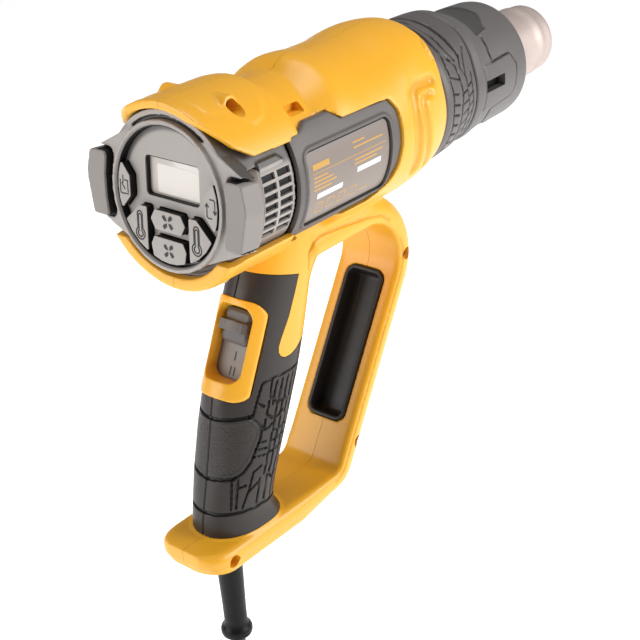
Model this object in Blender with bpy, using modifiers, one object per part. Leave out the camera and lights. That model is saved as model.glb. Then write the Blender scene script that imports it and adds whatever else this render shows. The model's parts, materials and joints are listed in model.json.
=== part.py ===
"""Heat gun with a closed hand guard, modelled piece by piece in metres, +Z up.

The drawing's frame has X forward along the barrel from the rear panel, Y to the
left and Z up from the barrel's axis. The empty "heat_gun" moves that frame so
that the world's origin is the middle of the handle, where a hand holds the gun.
"""

import math

import bmesh
import bpy
from mathutils import Matrix, Vector

GAP = 0.0003            # clearance between pieces that touch
GRIP_CENTRE = (0.029, 0.0, -0.115)

# Barrel, all round the X axis
HOOD_R = 0.0402
NECK_R = 0.0365
BARREL_R = 0.0395
BORE_R = 0.0368
WALL = 0.0026
MODULE_R = 0.0360
MODULE_LENGTH = 0.0375
FRONT_X = 0.1453
COLLAR_END = 0.1740
SHIELD_END = 0.2213
NOZZLE_END = 0.2631
NOZZLE_R = 0.0175
SHIELD_SLOTS = 2             # air slots round the heat shield, on its flanks
LABEL_R = 0.0369
LABEL_THICK = 0.0005

# Motor and fan
MOTOR_R = 0.0180
SHAFT_R = 0.0015
FAN_X = 0.1090
FAN_BLADES = 7

# Rear panel, which leans forward at its top
PANEL_TILT = math.radians(5.53)
BEZEL_R = 0.0317
DISC_R = 0.0292
DISC_DEPTH = 0.0030
DISC_THICK = 0.0020
COVER_WALL = 0.0024
EAR_FACE = -0.0012           # ears' rear face, from the panel's plane

# Guard loop: its inner face, read in the XZ plane
LOOP_TOP = -0.0475
LOOP_BASE = -0.1633
RAKE = math.radians(59.0)
LOOP_FRONT = Vector((0.1233, -0.0785))
LOOP_THICK = 0.0135
LOOP_HALF_WIDTH = 0.0190

# Handle: height, rear and front of each section, half width
HANDLE = (
    (-0.1629, -0.0030, 0.0405, 0.0178),
    (-0.1580, -0.0027, 0.0360, 0.0166),
    (-0.1497, -0.0008, 0.0365, 0.0170),
    (-0.1370, 0.0026, 0.0400, 0.0182),
    (-0.1150, 0.0080, 0.0505, 0.0185),
    (-0.0988, 0.0118, 0.0600, 0.0172),
    (-0.0800, 0.0205, 0.0675, 0.0164),
    (-0.0574, 0.0316, 0.0735, 0.0164),
    (-0.0420, 0.0390, 0.0850, 0.0172),
    (-0.0300, 0.0450, 0.0930, 0.0172),
)
HANDLE_REAR_SHARE = 0.58     # of a section's depth, behind its widest point
HANDLE_SQUARENESS = 2.25     # exponent of the section's oval; 2 is an ellipse
GRIP_THICK = 0.0030

# Hollow tray in the guard's inner face
TRAY_LENGTH = 0.0760
TRAY_HALF_WIDTH = 0.0115
TRAY_DEPTH = 0.0090
TRAY_FLOOR = 0.0016
TRAY_CORNER = 0.0055

# Slide switch on the handle's rear face
SWITCH_FLOOR = -0.0095
SWITCH_TRAVEL = 0.0140
SLIDER_STOP = 0.0122         # slider's lower edge when it is all the way down
SLIDER_LENGTH = 0.0150

# Screws through the casing from the right: x, z, how deep the head lies, and the tip
CASE_SCREWS = (
    (0.0225, 0.0350, -0.0115, 0.008),
    (0.0160, -0.0380, -0.0110, 0.008),
    (0.1320, -0.0700, -0.0130, 0.010),
    (0.0874, -0.1530, -0.0130, 0.010),
    (-0.0030, -0.1696, -0.0090, 0.009),
)
SCREW_HEAD_R = 0.0028
SCREW_HEAD_THICK = 0.0022
SCREW_SHANK_R = 0.0014
BOSS_R = 0.0045              # boss under the hood that takes the first screw
BOSS_REACH = 0.0185

# Cord
CORD_D = 0.0072
RELIEF_X = 0.0110
RELIEF_TOP = -0.1577
RELIEF_END = -0.2280
RELIEF_NECK_R = 0.0063
REST_Z = -0.3300
COIL_R = 0.0375             # middle of the coil's turns
COIL_CENTRE = (0.0300, -0.0150)
TIE_THICK = 0.0012
TIE_HALF_WIDTH = 0.0050
COIL_LOW = REST_Z + TIE_THICK + GAP
COIL_HIGH = COIL_LOW + 3 * CORD_D
LANDING = COIL_HIGH + CORD_D / 2 + GAP
CORD_STEP = 0.0061           # length of each straight piece of the modelled cord

# Plug, on its side at the cord's end
PLUG_REAR = -0.0120
PLUG_NECK = 0.0240
PLUG_BODY = 0.0380
PLUG_Z = REST_Z + 0.0082
PLUG_PIN_R = 0.0024
PLUG_PIN_SPACING = 0.0190
PLUG_PIN_OUT = 0.0190
PLUG_PIN_IN = 0.0060

YELLOW = (0.90, 0.50, 0.03)
GREY = (0.10, 0.095, 0.095)
DARK = (0.03, 0.03, 0.032)
SOFT = (0.05, 0.048, 0.048)
STEEL = (0.62, 0.58, 0.55)
TINTED_STEEL = (0.60, 0.52, 0.47)

for old in list(bpy.data.objects):
    bpy.data.objects.remove(old, do_unlink=True)


def collection(name):
    made = bpy.data.collections.new(name)
    bpy.context.scene.collection.children.link(made)
    return made


PARTS = collection("heat_gun")
CUTTERS = collection("cutters")
ROOT = bpy.data.objects.new("heat_gun", None)
PARTS.objects.link(ROOT)
ROOT.location = -Vector(GRIP_CENTRE)


def material(name, colour, roughness, metallic=0.0):
    made = bpy.data.materials.new(name)
    made.use_nodes = True
    shader = made.node_tree.nodes["Principled BSDF"]
    shader.inputs["Base Color"].default_value = (*colour, 1.0)
    shader.inputs["Roughness"].default_value = roughness
    shader.inputs["Metallic"].default_value = metallic
    return made


def place(name, data, matrix=Matrix(), parent=ROOT):
    """New object in the drawing's frame, with its matrix given there."""
    made = bpy.data.objects.new(name, data)
    PARTS.objects.link(made)
    made.parent = parent
    made.matrix_local = matrix
    return made


def as_mesh(source, name):
    """The evaluated shape of an object as a welded mesh object in the same place."""
    graph = bpy.context.evaluated_depsgraph_get()
    mesh = bpy.data.meshes.new_from_object(source.evaluated_get(graph))
    shape = bmesh.new()
    shape.from_mesh(mesh)
    bmesh.ops.remove_doubles(shape, verts=shape.verts, dist=0.000002)
    shape.to_mesh(mesh)
    shape.free()
    made = place(name, mesh, source.matrix_local.copy(), source.parent)
    bpy.data.objects.remove(source, do_unlink=True)
    return made


def round_shading(made, angle=35.0):
    made.data.shade_smooth()
    made.data.set_sharp_from_angle(angle=math.radians(angle))
    return made


def boolean(part, tool, operation):
    """Cut, join or clip a part with a tool, which moves to the cutters."""
    if tool.name in PARTS.objects:
        PARTS.objects.unlink(tool)
        CUTTERS.objects.link(tool)
        tool.hide_render = True
        tool.display_type = "WIRE"
    change = part.modifiers.new(tool.name, "BOOLEAN")
    change.operation = operation
    change.solver = "EXACT"
    change.object = tool
    return part


def cut(part, *tools):
    for tool in tools:
        boolean(part, tool, "DIFFERENCE")
    return part


def join(part, *tools):
    for tool in tools:
        boolean(part, tool, "UNION")
    return part


def clip(part, tool):
    return boolean(part, tool, "INTERSECT")


def box(name, low, high, matrix=Matrix()):
    low, high = Vector(low), Vector(high)
    shape = bmesh.new()
    bmesh.ops.create_cube(shape, size=1.0)
    bmesh.ops.scale(shape, vec=high - low, verts=shape.verts)
    bmesh.ops.translate(shape, vec=(low + high) / 2, verts=shape.verts)
    return from_bmesh(name, shape, matrix)


def from_bmesh(name, shape, matrix=Matrix()):
    mesh = bpy.data.meshes.new(name)
    shape.to_mesh(mesh)
    shape.free()
    return place(name, mesh, matrix)


def rod(name, start, end, radius, sides=16, end_radius=None):
    """Straight round bar or cone between two points."""
    start, end = Vector(start), Vector(end)
    along = end - start
    shape = bmesh.new()
    tip = radius if end_radius is None else end_radius
    bmesh.ops.create_cone(
        shape, cap_ends=True, segments=sides, radius1=radius, radius2=tip, depth=along.length)
    turn = along.to_track_quat("Z", "Y").to_matrix().to_4x4()
    bmesh.ops.transform(shape, matrix=Matrix.Translation((start + end) / 2) @ turn, verts=shape.verts)
    return round_shading(from_bmesh(name, shape))


def turned(name, profile, steps=48, axis="X", centre=(0.0, 0.0, 0.0)):
    """Turned piece: (distance along the axis, radius) round its section."""
    area = sum(a[1] * b[0] - b[1] * a[0] for a, b in zip(profile, profile[1:] + profile[:1]))
    if area > 0:
        profile = profile[::-1]
    solid = min(radius for _, radius in profile) == 0.0
    shape = bmesh.new()
    points = [shape.verts.new((radius, 0.0, along)) for along, radius in profile]
    for first, second in zip(points, points[1:] if solid else points[1:] + points[:1]):
        shape.edges.new((first, second))
    turn = Matrix.Rotation(math.pi / 2, 4, "Y") if axis == "X" else Matrix()
    made = from_bmesh(name, shape, Matrix.Translation(centre) @ turn)
    screw = made.modifiers.new("turn", "SCREW")
    screw.steps = screw.render_steps = steps
    screw.use_merge_vertices = True
    screw.merge_threshold = 0.00001
    screw.use_smooth_shade = True
    return made


def loft(name, rings):
    """Closed body through rings of the same number of points."""
    shape = bmesh.new()
    rows = [[shape.verts.new(point) for point in ring] for ring in rings]
    for low, high in zip(rows, rows[1:]):
        for i in range(len(low)):
            shape.faces.new((low[i - 1], low[i], high[i], high[i - 1]))
    shape.faces.new(rows[0][::-1])
    shape.faces.new(rows[-1])
    bmesh.ops.recalc_face_normals(shape, faces=shape.faces)
    return round_shading(from_bmesh(name, shape))


def prism(name, outline, low, high, matrix=Matrix()):
    """Flat outline in local X and Y, extruded along local Z from low to high."""
    curve = bpy.data.curves.new(name, "CURVE")
    curve.dimensions = "2D"
    curve.fill_mode = "BOTH"
    curve.extrude = (high - low) / 2
    spline = curve.splines.new("POLY")
    spline.points.add(len(outline) - 1)
    for point, (across, up) in zip(spline.points, outline):
        point.co = (across, up, 0.0, 1.0)
    spline.use_cyclic_u = True
    middle = Matrix.Translation((0.0, 0.0, (low + high) / 2))
    return as_mesh(place(name + "_outline", curve, matrix @ middle), name)


def fillet(before, corner, after, radius, steps):
    """Arc that rounds a corner of a flat outline."""
    back, ahead = (before - corner).normalized(), (after - corner).normalized()
    half = back.angle(ahead) / 2
    reach = radius / math.tan(half)
    centre = corner + (back + ahead).normalized() * radius / math.sin(half)
    start, end = corner + back * reach - centre, corner + ahead * reach - centre
    return [centre + start.lerp(end, i / steps).normalized() * radius for i in range(steps + 1)]


def rounded(corners, radius, steps=3):
    """Closed outline with an arc at each corner."""
    points = [Vector(corner) for corner in corners]
    outline = []
    for i, corner in enumerate(points):
        outline += fillet(points[i - 1], corner, points[(i + 1) % len(points)], radius, steps)
    return outline


def grown(outline, by):
    """Convex outline offset outward from its middle by a clearance."""
    points = [Vector(point) for point in outline]
    area = sum(a.x * b.y - b.x * a.y for a, b in zip(points, points[1:] + points[:1]))
    side = by if area > 0 else -by
    moved = []
    for i, point in enumerate(points):
        ahead, back = points[(i + 1) % len(points)] - point, point - points[i - 1]
        normals = [Vector((edge.y, -edge.x)).normalized() for edge in (back, ahead)]
        middle = (normals[0] + normals[1]).normalized()
        moved.append(point + middle * side / max(0.3, middle.dot(normals[0])))
    return moved


def rectangle(left, right, low, high):
    return [(left, low), (right, low), (right, high), (left, high)]


def mirrored(outline):
    return [(-across, up) for across, up in reversed(outline)]


# Flat drawing planes: X and Y lie in the plane, Z points out of it
UPRIGHT = Matrix(((1, 0, 0, 0), (0, 0, -1, 0), (0, 1, 0, 0), (0, 0, 0, 1)))


def rear_plane(point, tilt):
    """Plane seen from behind: X to the right, Y up and leaning forward by tilt."""
    lean, rise = math.sin(tilt), math.cos(tilt)
    return Matrix(((0, lean, -rise, point[0]), (-1, 0, 0, 0), (0, rise, lean, point[1]), (0, 0, 0, 1)))


PANEL = rear_plane((0.0, 0.0005), PANEL_TILT)
SWITCH = rear_plane((0.0113, -0.0988), math.atan2(0.0203, 0.0414))


def side_name(side):
    return "left" if side > 0 else "right"


def half(side):
    """Block that holds everything on one side of the middle plane."""
    near, far = sorted((side * GAP / 2, side * 0.08))
    return box(f"half_{side_name(side)}", (-0.10, near, -0.25), (0.30, far, 0.10))


# ---------------------------------------------------------------- handle and guard

def handle_rings(inset, low, high, sides=24):
    rings = []
    for height, rear, front, half_width in HANDLE:
        if low - 0.0001 <= height <= high + 0.0001:
            depth, width = front - rear - 2 * inset, half_width - inset
            widest = rear + inset + HANDLE_REAR_SHARE * depth
            ring = []
            for i in range(sides):
                ahead, across = math.cos(2 * math.pi * i / sides), math.sin(2 * math.pi * i / sides)
                reach = depth * (1 - HANDLE_REAR_SHARE if ahead > 0 else HANDLE_REAR_SHARE)
                x = math.copysign(abs(ahead) ** (2 / HANDLE_SQUARENESS), ahead) * reach
                y = math.copysign(abs(across) ** (2 / HANDLE_SQUARENESS), across) * width
                ring.append((widest + x, y, height))
            rings.append(ring)
    return rings


def handle(name, inset, low=HANDLE[0][0], high=HANDLE[-1][0]):
    return loft(name, handle_rings(inset, low, high))


# Side view of the handle's yellow top, whose tongue reaches down its front
CROWN = (
    (0.0000, -0.0410), (0.0120, -0.0412), (0.0283, -0.0436), (0.0566, -0.0514), (0.0484, -0.0688),
    (0.0404, -0.0808), (0.0399, -0.0834), (0.0430, -0.0869), (0.0505, -0.0863), (0.0620, -0.0820),
    (0.1000, -0.0700), (0.1000, -0.0200), (0.0000, -0.0200),
)


def crown(name, by):
    """Block that holds the handle's yellow top, or its clearance."""
    return prism(name, grown(CROWN, by), -0.03, 0.03, UPRIGHT)


def loop_stations(arc_steps=5):
    """Points of the guard's inner face with their outward directions and half widths."""
    down = Vector((-math.cos(RAKE), -math.sin(RAKE)))
    out = Vector((math.sin(RAKE), -math.cos(RAKE)))
    stations = [(Vector((0.066, LOOP_TOP)), Vector((0.0, 1.0)), LOOP_HALF_WIDTH)]
    top_radius = 0.0205
    front_centre = LOOP_FRONT - out * top_radius
    for i in range(arc_steps + 1):
        way = Vector((0.0, 1.0)).lerp(out, i / arc_steps).normalized()
        stations.append((front_centre + way * top_radius, way, LOOP_HALF_WIDTH - 0.0005))
    foot_radius = 0.0070
    foot_height = LOOP_BASE + foot_radius
    run = (LOOP_FRONT - out * foot_radius).y - foot_height
    foot_centre = LOOP_FRONT - out * foot_radius + down * run / -down.y
    for i in range(arc_steps + 1):
        way = out.lerp(Vector((0.0, -1.0)), i / arc_steps).normalized()
        stations.append((foot_centre + way * foot_radius, way, LOOP_HALF_WIDTH - 0.0002))
    heel = ((0.045, 0.0), (-0.002, 0.0), (-0.009, 0.0014), (-0.0135, 0.0048), (-0.0165, 0.0100))
    for x, narrowing in heel:
        stations.append((Vector((x, LOOP_BASE)), Vector((0.0, -1.0)), LOOP_HALF_WIDTH + 0.0005 - narrowing))
    return stations


def loop_section(half_width, thick):
    """Section of the guard: across its width, and out from its inner face."""
    edge, outer = 0.0015, min(0.0095, half_width * 0.6)
    corners = [Vector(c) for c in rectangle(-half_width, half_width, 0.0, thick)]
    section = []
    for i, (radius, steps) in enumerate(((edge, 1), (edge, 1), (outer, 3), (outer, 3))):
        section += fillet(corners[i - 1], corners[i], corners[(i + 1) % 4], radius, steps)
    return section


def guard_loop():
    rings = []
    for point, way, half_width in loop_stations():
        ring = []
        for across, out in loop_section(half_width, LOOP_THICK):
            spot = point + way * out
            ring.append((spot.x, across, spot.y))
        rings.append(ring)
    return loft("guard_loop", rings)


TRAY = Matrix(((0, math.cos(RAKE), -math.sin(RAKE), LOOP_FRONT.x), (-1, 0, 0, 0),
               (0, math.sin(RAKE), math.cos(RAKE), LOOP_FRONT.y), (0, 0, 0, 1)))


def tray_outline(by):
    corners = rectangle(-TRAY_HALF_WIDTH - by, TRAY_HALF_WIDTH + by, -TRAY_LENGTH - by, by)
    return rounded(corners, TRAY_CORNER + by, 4)


def boss(name, by):
    """Cross boss under the hood, or its clearance."""
    x, z = CASE_SCREWS[0][:2]
    reach = BOSS_REACH + 2 * by
    return rod(name, (x, -reach, z), (x, reach, z), BOSS_R + by, 20)


def panel_outline(by):
    """Side view of the dark panel on the barrel's flank."""
    rear = MODULE_LENGTH + 0.0010 - by
    return [
        (rear, -0.0262 - by), (0.0900 + by, -0.0262 - by), (0.1006 + by, -0.0202 - by),
        (0.1041 + by, -0.0130), (0.1056 + by, -0.0030), (0.1056 + by, 0.0060), (0.1052 + by, 0.0127),
        (0.1018 + by, 0.0178 + by), (0.0712, 0.0185 + by), (0.0660, 0.0222 + by), (0.0520, 0.0222 + by),
        (0.0465, 0.0195 + by), (rear, 0.0195 + by),
    ]


def side_block(name, outline, side, low=0.015, high=0.050):
    """Side view outline carried out through one flank."""
    span = (-high, -low) if side > 0 else (low, high)
    return prism(name, outline, span[0], span[1], UPRIGHT)


def rear_opening():
    """Space of the rear module: open at the sides, closed above by the hood and below by the belly."""
    end = MODULE_LENGTH + 0.0020
    outline = [(-0.03, 0.060), (0.0010, 0.060), (0.0010, 0.0345), (0.0095, 0.0236), (0.0165, 0.0190),
               (end, 0.0188), (end, -0.0222), (-0.03, -0.0222)]
    return prism("rear_opening", outline, -0.06, 0.06, UPRIGHT)


def housing(side):
    neck_bore = NECK_R - WALL
    shell = turned(f"housing_{side_name(side)}", [
        (-0.0020, 0.0), (-0.0020, HOOD_R - 0.0008), (-0.0010, HOOD_R), (0.0450, HOOD_R),
        (0.0466, HOOD_R - 0.0014), (0.0466, NECK_R), (0.0690, NECK_R), (0.0735, BARREL_R - 0.0003),
        (0.0760, BARREL_R), (0.1200, BARREL_R), (0.1340, BARREL_R - 0.0013), (0.1425, 0.0356),
        (FRONT_X, 0.0343), (FRONT_X, 0.0)], 56)
    crown_body = clip(handle("crown_body", 0.0), crown("crown_side", 0.0))
    join(shell, guard_loop(), crown_body, handle("handle_core", GRIP_THICK))
    bore = turned("barrel_bore", [
        (-0.02, 0.0), (-0.02, BORE_R), (0.046, BORE_R), (0.0480, neck_bore), (0.0680, neck_bore),
        (0.0760, BORE_R), (0.1320, BORE_R - 0.0003), (0.1400, 0.0325), (0.1500, 0.0315), (0.1500, 0.0)], 56)
    cut(shell, bore, rear_opening(), handle("handle_cavity", GRIP_THICK + WALL, low=-0.158, high=-0.030))
    join(shell, boss("hood_boss", 0.0))
    cut(shell, side_block("panel_window", panel_outline(GAP), side))
    if side < 0:
        pocket = rounded(rectangle(0.0462, 0.0545, 0.0256, 0.0296), 0.0008, 2)
        cut(shell, prism("neck_pocket", pocket, 0.0245, 0.05, UPRIGHT))
    cut(shell, prism("tray_pocket", tray_outline(GAP), -TRAY_DEPTH - TRAY_FLOOR - 2 * GAP, 0.01, TRAY))
    cut(shell, prism("switch_pocket", switch_outline(GAP), SWITCH_FLOOR - 0.0030, 0.01, SWITCH))
    cut(shell, rod("relief_hole", (RELIEF_X, 0, -0.20), (RELIEF_X, 0, -0.150), RELIEF_NECK_R + 2 * GAP, 20))
    for index, (x, z, head, tip) in enumerate(CASE_SCREWS, 1):
        if side < 0:
            cut(shell, rod(f"head_pocket_{index}", (x, -0.06, z), (x, head, z), SCREW_HEAD_R + GAP, 14))
        start, end = (x, head - 0.001, z), (x, tip + 0.001, z)
        cut(shell, rod(f"shank_hole_{index}", start, end, SCREW_SHANK_R + GAP, 10))
    return finish(clip(shell, half(side)), "housing")


def grip(side):
    """Soft half shell round the handle's core, under the yellow crown."""
    name = side_name(side)
    shell = handle(f"grip_{name}", 0.0, high=-0.0420)
    cut(shell, handle(f"grip_room_{name}", GRIP_THICK - GAP))
    cut(shell, crown(f"crown_room_{name}", GAP))
    cut(shell, prism(f"grip_switch_{name}", switch_outline(GAP), -0.014, 0.01, SWITCH))
    return finish(clip(shell, half(side)), "grip")


def guard_tray():
    wall, rise = 0.0020, 0.0008
    tray = prism("guard_tray", tray_outline(0.0), -TRAY_DEPTH - TRAY_FLOOR, rise, TRAY)
    cut(tray, prism("tray_hollow", grown(tray_outline(0.0), -wall), -TRAY_DEPTH, 0.01, TRAY))
    finish(tray, "rubber")


# ---------------------------------------------------------------- slide switch

def switch_outline(by):
    return rounded(rectangle(-0.0138 - by, 0.0138 + by, 0.0010 - by, 0.0462 + by), 0.0055 + by, 3)


def switch_parts():
    bezel = prism("switch_bezel", switch_outline(0.0), SWITCH_FLOOR, 0.012, SWITCH)
    clip(bezel, handle("bezel_skin", -0.0009))
    mouth = rounded(rectangle(-0.0112, 0.0112, 0.0095, 0.0428), 0.0050, 3)
    throat = rounded(rectangle(-0.0084, 0.0084, 0.0108, 0.0416), 0.0035, 3)
    levels = ((SWITCH_FLOOR - 0.001, throat), (-0.0070, throat), (0.0000, mouth), (0.0100, mouth))
    cut(bezel, loft("switch_window", [[SWITCH @ Vector((x, y, z)) for x, y in ring] for z, ring in levels]))
    finish(bezel, "housing")
    scale = rounded(rectangle(-0.0105, 0.0105, 0.0060, 0.0440), 0.003, 2)
    finish(prism("switch_scale", scale, SWITCH_FLOOR - 0.0017, SWITCH_FLOOR - GAP, SWITCH), "module")
    low = SLIDER_STOP + SWITCH_TRAVEL
    plate = rounded(rectangle(-0.0078, 0.0078, low, low + SLIDER_LENGTH), 0.0030, 3)
    slider = prism("switch_slider", plate, SWITCH_FLOOR + GAP, SWITCH_FLOOR + 0.0018, SWITCH)
    bar = rectangle(-0.0072, 0.0072, low + 0.0050, low + 0.0100)
    join(slider, prism("slider_bar", bar, SWITCH_FLOOR + 0.0010, -0.0022, SWITCH))
    finish(slider, "module")
    body_front = SWITCH_FLOOR - 0.0035
    body = box("switch_body", (-0.0080, 0.0120, -0.0290), (0.0080, 0.0380, body_front), SWITCH)
    finish(body, "black")


# ---------------------------------------------------------------- rear module and panel

EARS = (
    (0.0205, 0.0258), (0.0385, 0.0178), (0.0432, 0.0150), (0.0455, 0.0045),
    (0.0455, 0.0010), (0.0426, -0.0150), (0.0385, -0.0168), (0.0215, -0.0243),
)
GRILLE_COLUMNS = (("rear", 0.0193), ("front", 0.0283))
GRILLE_ROWS = 7


def ear_outline():
    return list(EARS) + mirrored(EARS)


def grille_slots():
    """Cutters for both flanks' air slots, row by row down each column."""
    slots = []
    for side in (-1, 1):
        for place_name, x in GRILLE_COLUMNS:
            for row in range(GRILLE_ROWS):
                turn = Matrix.Rotation(side * math.radians(13.0 - 6.75 * row), 4, "X")
                near, far = sorted((side * 0.031, side * 0.040))
                name = f"slot_{side_name(side)}_{place_name}_{row}"
                slots.append(box(name, (x, near, -0.0013), (x + 0.0076, far, 0.0013), turn))
    return slots


def rear_cover():
    inner = MODULE_R - COVER_WALL
    cover = turned("rear_cover", [
        (0.0040, MODULE_R), (MODULE_LENGTH, MODULE_R), (MODULE_LENGTH, inner), (0.0040, inner)], 56)
    front = ear_outline()
    back = [Vector(p).normalized() * (MODULE_R - 0.0020) for p in front]
    rings = [[PANEL @ Vector((x, y, depth)) for x, y in front] for depth in (EAR_FACE, -0.0075)]
    rings.append([Vector((0.0150, -x, z)) for x, z in back])
    ring = rod("bezel_ring", PANEL @ Vector((0, 0, -0.0100)), PANEL @ Vector((0, 0, 0)), BEZEL_R, 48)
    join(cover, loft("ear_blocks", rings), ring)
    cut(cover, rod("module_bore", (0.0125, 0, 0), (0.05, 0, 0), inner - 0.0001, 56))
    opening = (PANEL @ Vector((0, 0, -0.0200)), PANEL @ Vector((0, 0, 0.01)))
    cut(cover, rod("panel_opening", *opening, DISC_R + GAP, 48))
    cut(cover, boss("boss_room", 0.0004), *grille_slots())
    return finish(cover, "module")


def ear_pad(side):
    outline = [(0.0345, 0.0140), (0.0425, 0.0140), (0.0448, 0.0040),
               (0.0448, 0.0010), (0.0418, -0.0145), (0.0345, -0.0145)]
    if side > 0:
        outline = mirrored(outline)
    pad = prism(f"ear_pad_{side_name(side)}", rounded(outline, 0.0012, 2), EAR_FACE + GAP, 0.0014, PANEL)
    finish(pad, "rubber")


def button_shapes():
    """Name, outline and middle of each of the six buttons on the disc."""
    side_key = [(0.0216, 0.0050), (0.0262, 0.0106), (0.0279, 0.0053), (0.0284, 0.0),
                (0.0279, -0.0053), (0.0266, -0.0094), (0.0216, -0.0036)]
    heat_key = [(0.0122, -0.0064), (0.0164, -0.0064), (0.0246, -0.0140), (0.0215, -0.0185), (0.0171, -0.0226),
                (0.0122, -0.0254)]
    air_up = [(-0.0074, -0.0148), (0.0074, -0.0148), (0.0098, -0.0105), (0.0074, -0.0064), (-0.0074, -0.0064),
              (-0.0098, -0.0105)]
    air_down = [(-0.0082, -0.0180), (-0.0100, -0.0215), (-0.0090, -0.0266), (-0.0045, -0.0279),
                (0.0, -0.0283), (0.0045, -0.0279), (0.0090, -0.0266), (0.0100, -0.0215), (0.0082, -0.0180)]
    return (
        ("button_set", side_key),
        ("button_power", mirrored(side_key)),
        ("button_heat_up", heat_key),
        ("button_heat_down", mirrored(heat_key)),
        ("button_air_up", air_up),
        ("button_air_down", air_down),
    )


def control_panel():
    back = -DISC_DEPTH - DISC_THICK
    disc = rod("control_disc", PANEL @ Vector((0, 0, back)), PANEL @ Vector((0, 0, -DISC_DEPTH)), DISC_R, 48)
    window = rounded(rectangle(-0.0154, 0.0154, -0.0024, 0.0147), 0.002, 2)
    cut(disc, prism("display_window", window, -0.02, 0.01, PANEL))
    for name, outline in button_shapes():
        middle = sum((Vector(p) for p in outline), Vector((0.0, 0.0))) / len(outline)
        local = [Vector(p) - middle for p in outline]
        spot = PANEL @ Matrix.Translation((middle.x, middle.y, 0.0))
        key = prism(name, local, -DISC_DEPTH - 0.0030, 0.0002, spot)
        finish(key, "module")
        cut(disc, prism(f"{name}_hole", grown(local, 0.0004), -0.02, 0.01, spot))
    finish(disc, "black")
    lens_back, module_back = -0.0066, -0.0100
    lens = rectangle(-0.0168, 0.0168, -0.0042, 0.0160)
    finish(prism("lcd_lens", lens, lens_back, back - GAP, PANEL), "lens")
    module = rectangle(-0.0160, 0.0160, -0.0040, 0.0155)
    finish(prism("lcd_module", module, module_back, lens_back - GAP, PANEL), "black")
    board = rounded(rectangle(-0.0225, 0.0225, -0.0175, 0.0175), 0.004, 2)
    finish(prism("control_board", board, -0.0125, module_back - GAP, PANEL), "board")


# ---------------------------------------------------------------- barrel fittings

def flank_ring(name, inner, outer):
    """Ring round the barrel along the side panels' length, from one radius to another."""
    return turned(name, [(0.03, inner), (0.03, outer), (0.12, outer), (0.12, inner)], 64)


def side_fittings(side):
    name = side_name(side)
    panel = flank_ring(f"side_panel_{name}", 0.0356, 0.0380)
    clip(panel, side_block(f"panel_outline_{name}", panel_outline(0.0), side))
    label = rounded(rectangle(0.0440, 0.0985, -0.0215, 0.0117), 0.0030, 3)
    recess = flank_ring(f"label_bed_{name}", LABEL_R - GAP, 0.0450)
    clip(recess, side_block(f"label_recess_{name}", grown(label, GAP), side))
    finish(cut(panel, recess), "module")
    plate = flank_ring(f"label_plate_{name}", LABEL_R, LABEL_R + LABEL_THICK)
    finish(clip(plate, side_block(f"label_outline_{name}", label, side)), "label")


def front_parts():
    collar = turned("front_collar", [
        (FRONT_X + GAP, 0.0290), (FRONT_X + GAP, 0.0340), (0.1490, 0.0346), (0.1560, 0.0340),
        (0.1640, 0.0330), (0.1705, 0.0318), (COLLAR_END, 0.0312), (COLLAR_END, 0.0285)])
    finish(collar, "rubber")
    shield = turned("heat_shield", [
        (COLLAR_END + GAP, 0.0285), (COLLAR_END + GAP, 0.0316), (0.1800, 0.0318), (0.1822, 0.0306),
        (0.2195, 0.0296), (SHIELD_END, 0.0286), (SHIELD_END, 0.0262), (0.1800, 0.0272)])
    for index in range(SHIELD_SLOTS):
        turn = Matrix.Rotation(2 * math.pi / SHIELD_SLOTS * index, 4, "X")
        cut(shield, box(f"shield_slot_{index}", (0.1830, 0.020, -0.0029), (0.1987, 0.040, 0.0029), turn))
    finish(shield, "module")
    rim_r, bore_r = NOZZLE_R + 0.0007, NOZZLE_R - 0.0008
    nozzle = turned("nozzle_tube", [
        (0.1500, NOZZLE_R), (0.2500, NOZZLE_R), (0.2520, rim_r), (0.2545, rim_r), (0.2565, NOZZLE_R),
        (NOZZLE_END, NOZZLE_R), (NOZZLE_END, bore_r), (0.1500, bore_r)], 40)
    finish(nozzle, "nozzle")


def heater():
    core = turned("heater_core", [(0.1560, 0.0), (0.1560, 0.0110), (0.2250, 0.0110), (0.2250, 0.0)], 20)
    finish(core, "ceramic")
    coil = turned("heater_coil", [(0.1600, 0.0113), (0.1600, 0.0128), (0.2200, 0.0128), (0.2200, 0.0113)], 20)
    finish(coil, "steel")
    tube = turned("mica_tube", [(0.1520, 0.0146), (0.1520, 0.0158), (0.2300, 0.0158), (0.2300, 0.0146)], 24)
    finish(tube, "mica")
    sleeve_r = NOZZLE_R + GAP
    flange = turned("nozzle_flange", [
        (0.1420, sleeve_r), (0.1420, 0.0310), (0.1435, 0.0310), (0.1435, 0.0262), (0.1600, 0.0262),
        (0.1600, sleeve_r)], 32)
    finish(flange, "steel")


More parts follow.
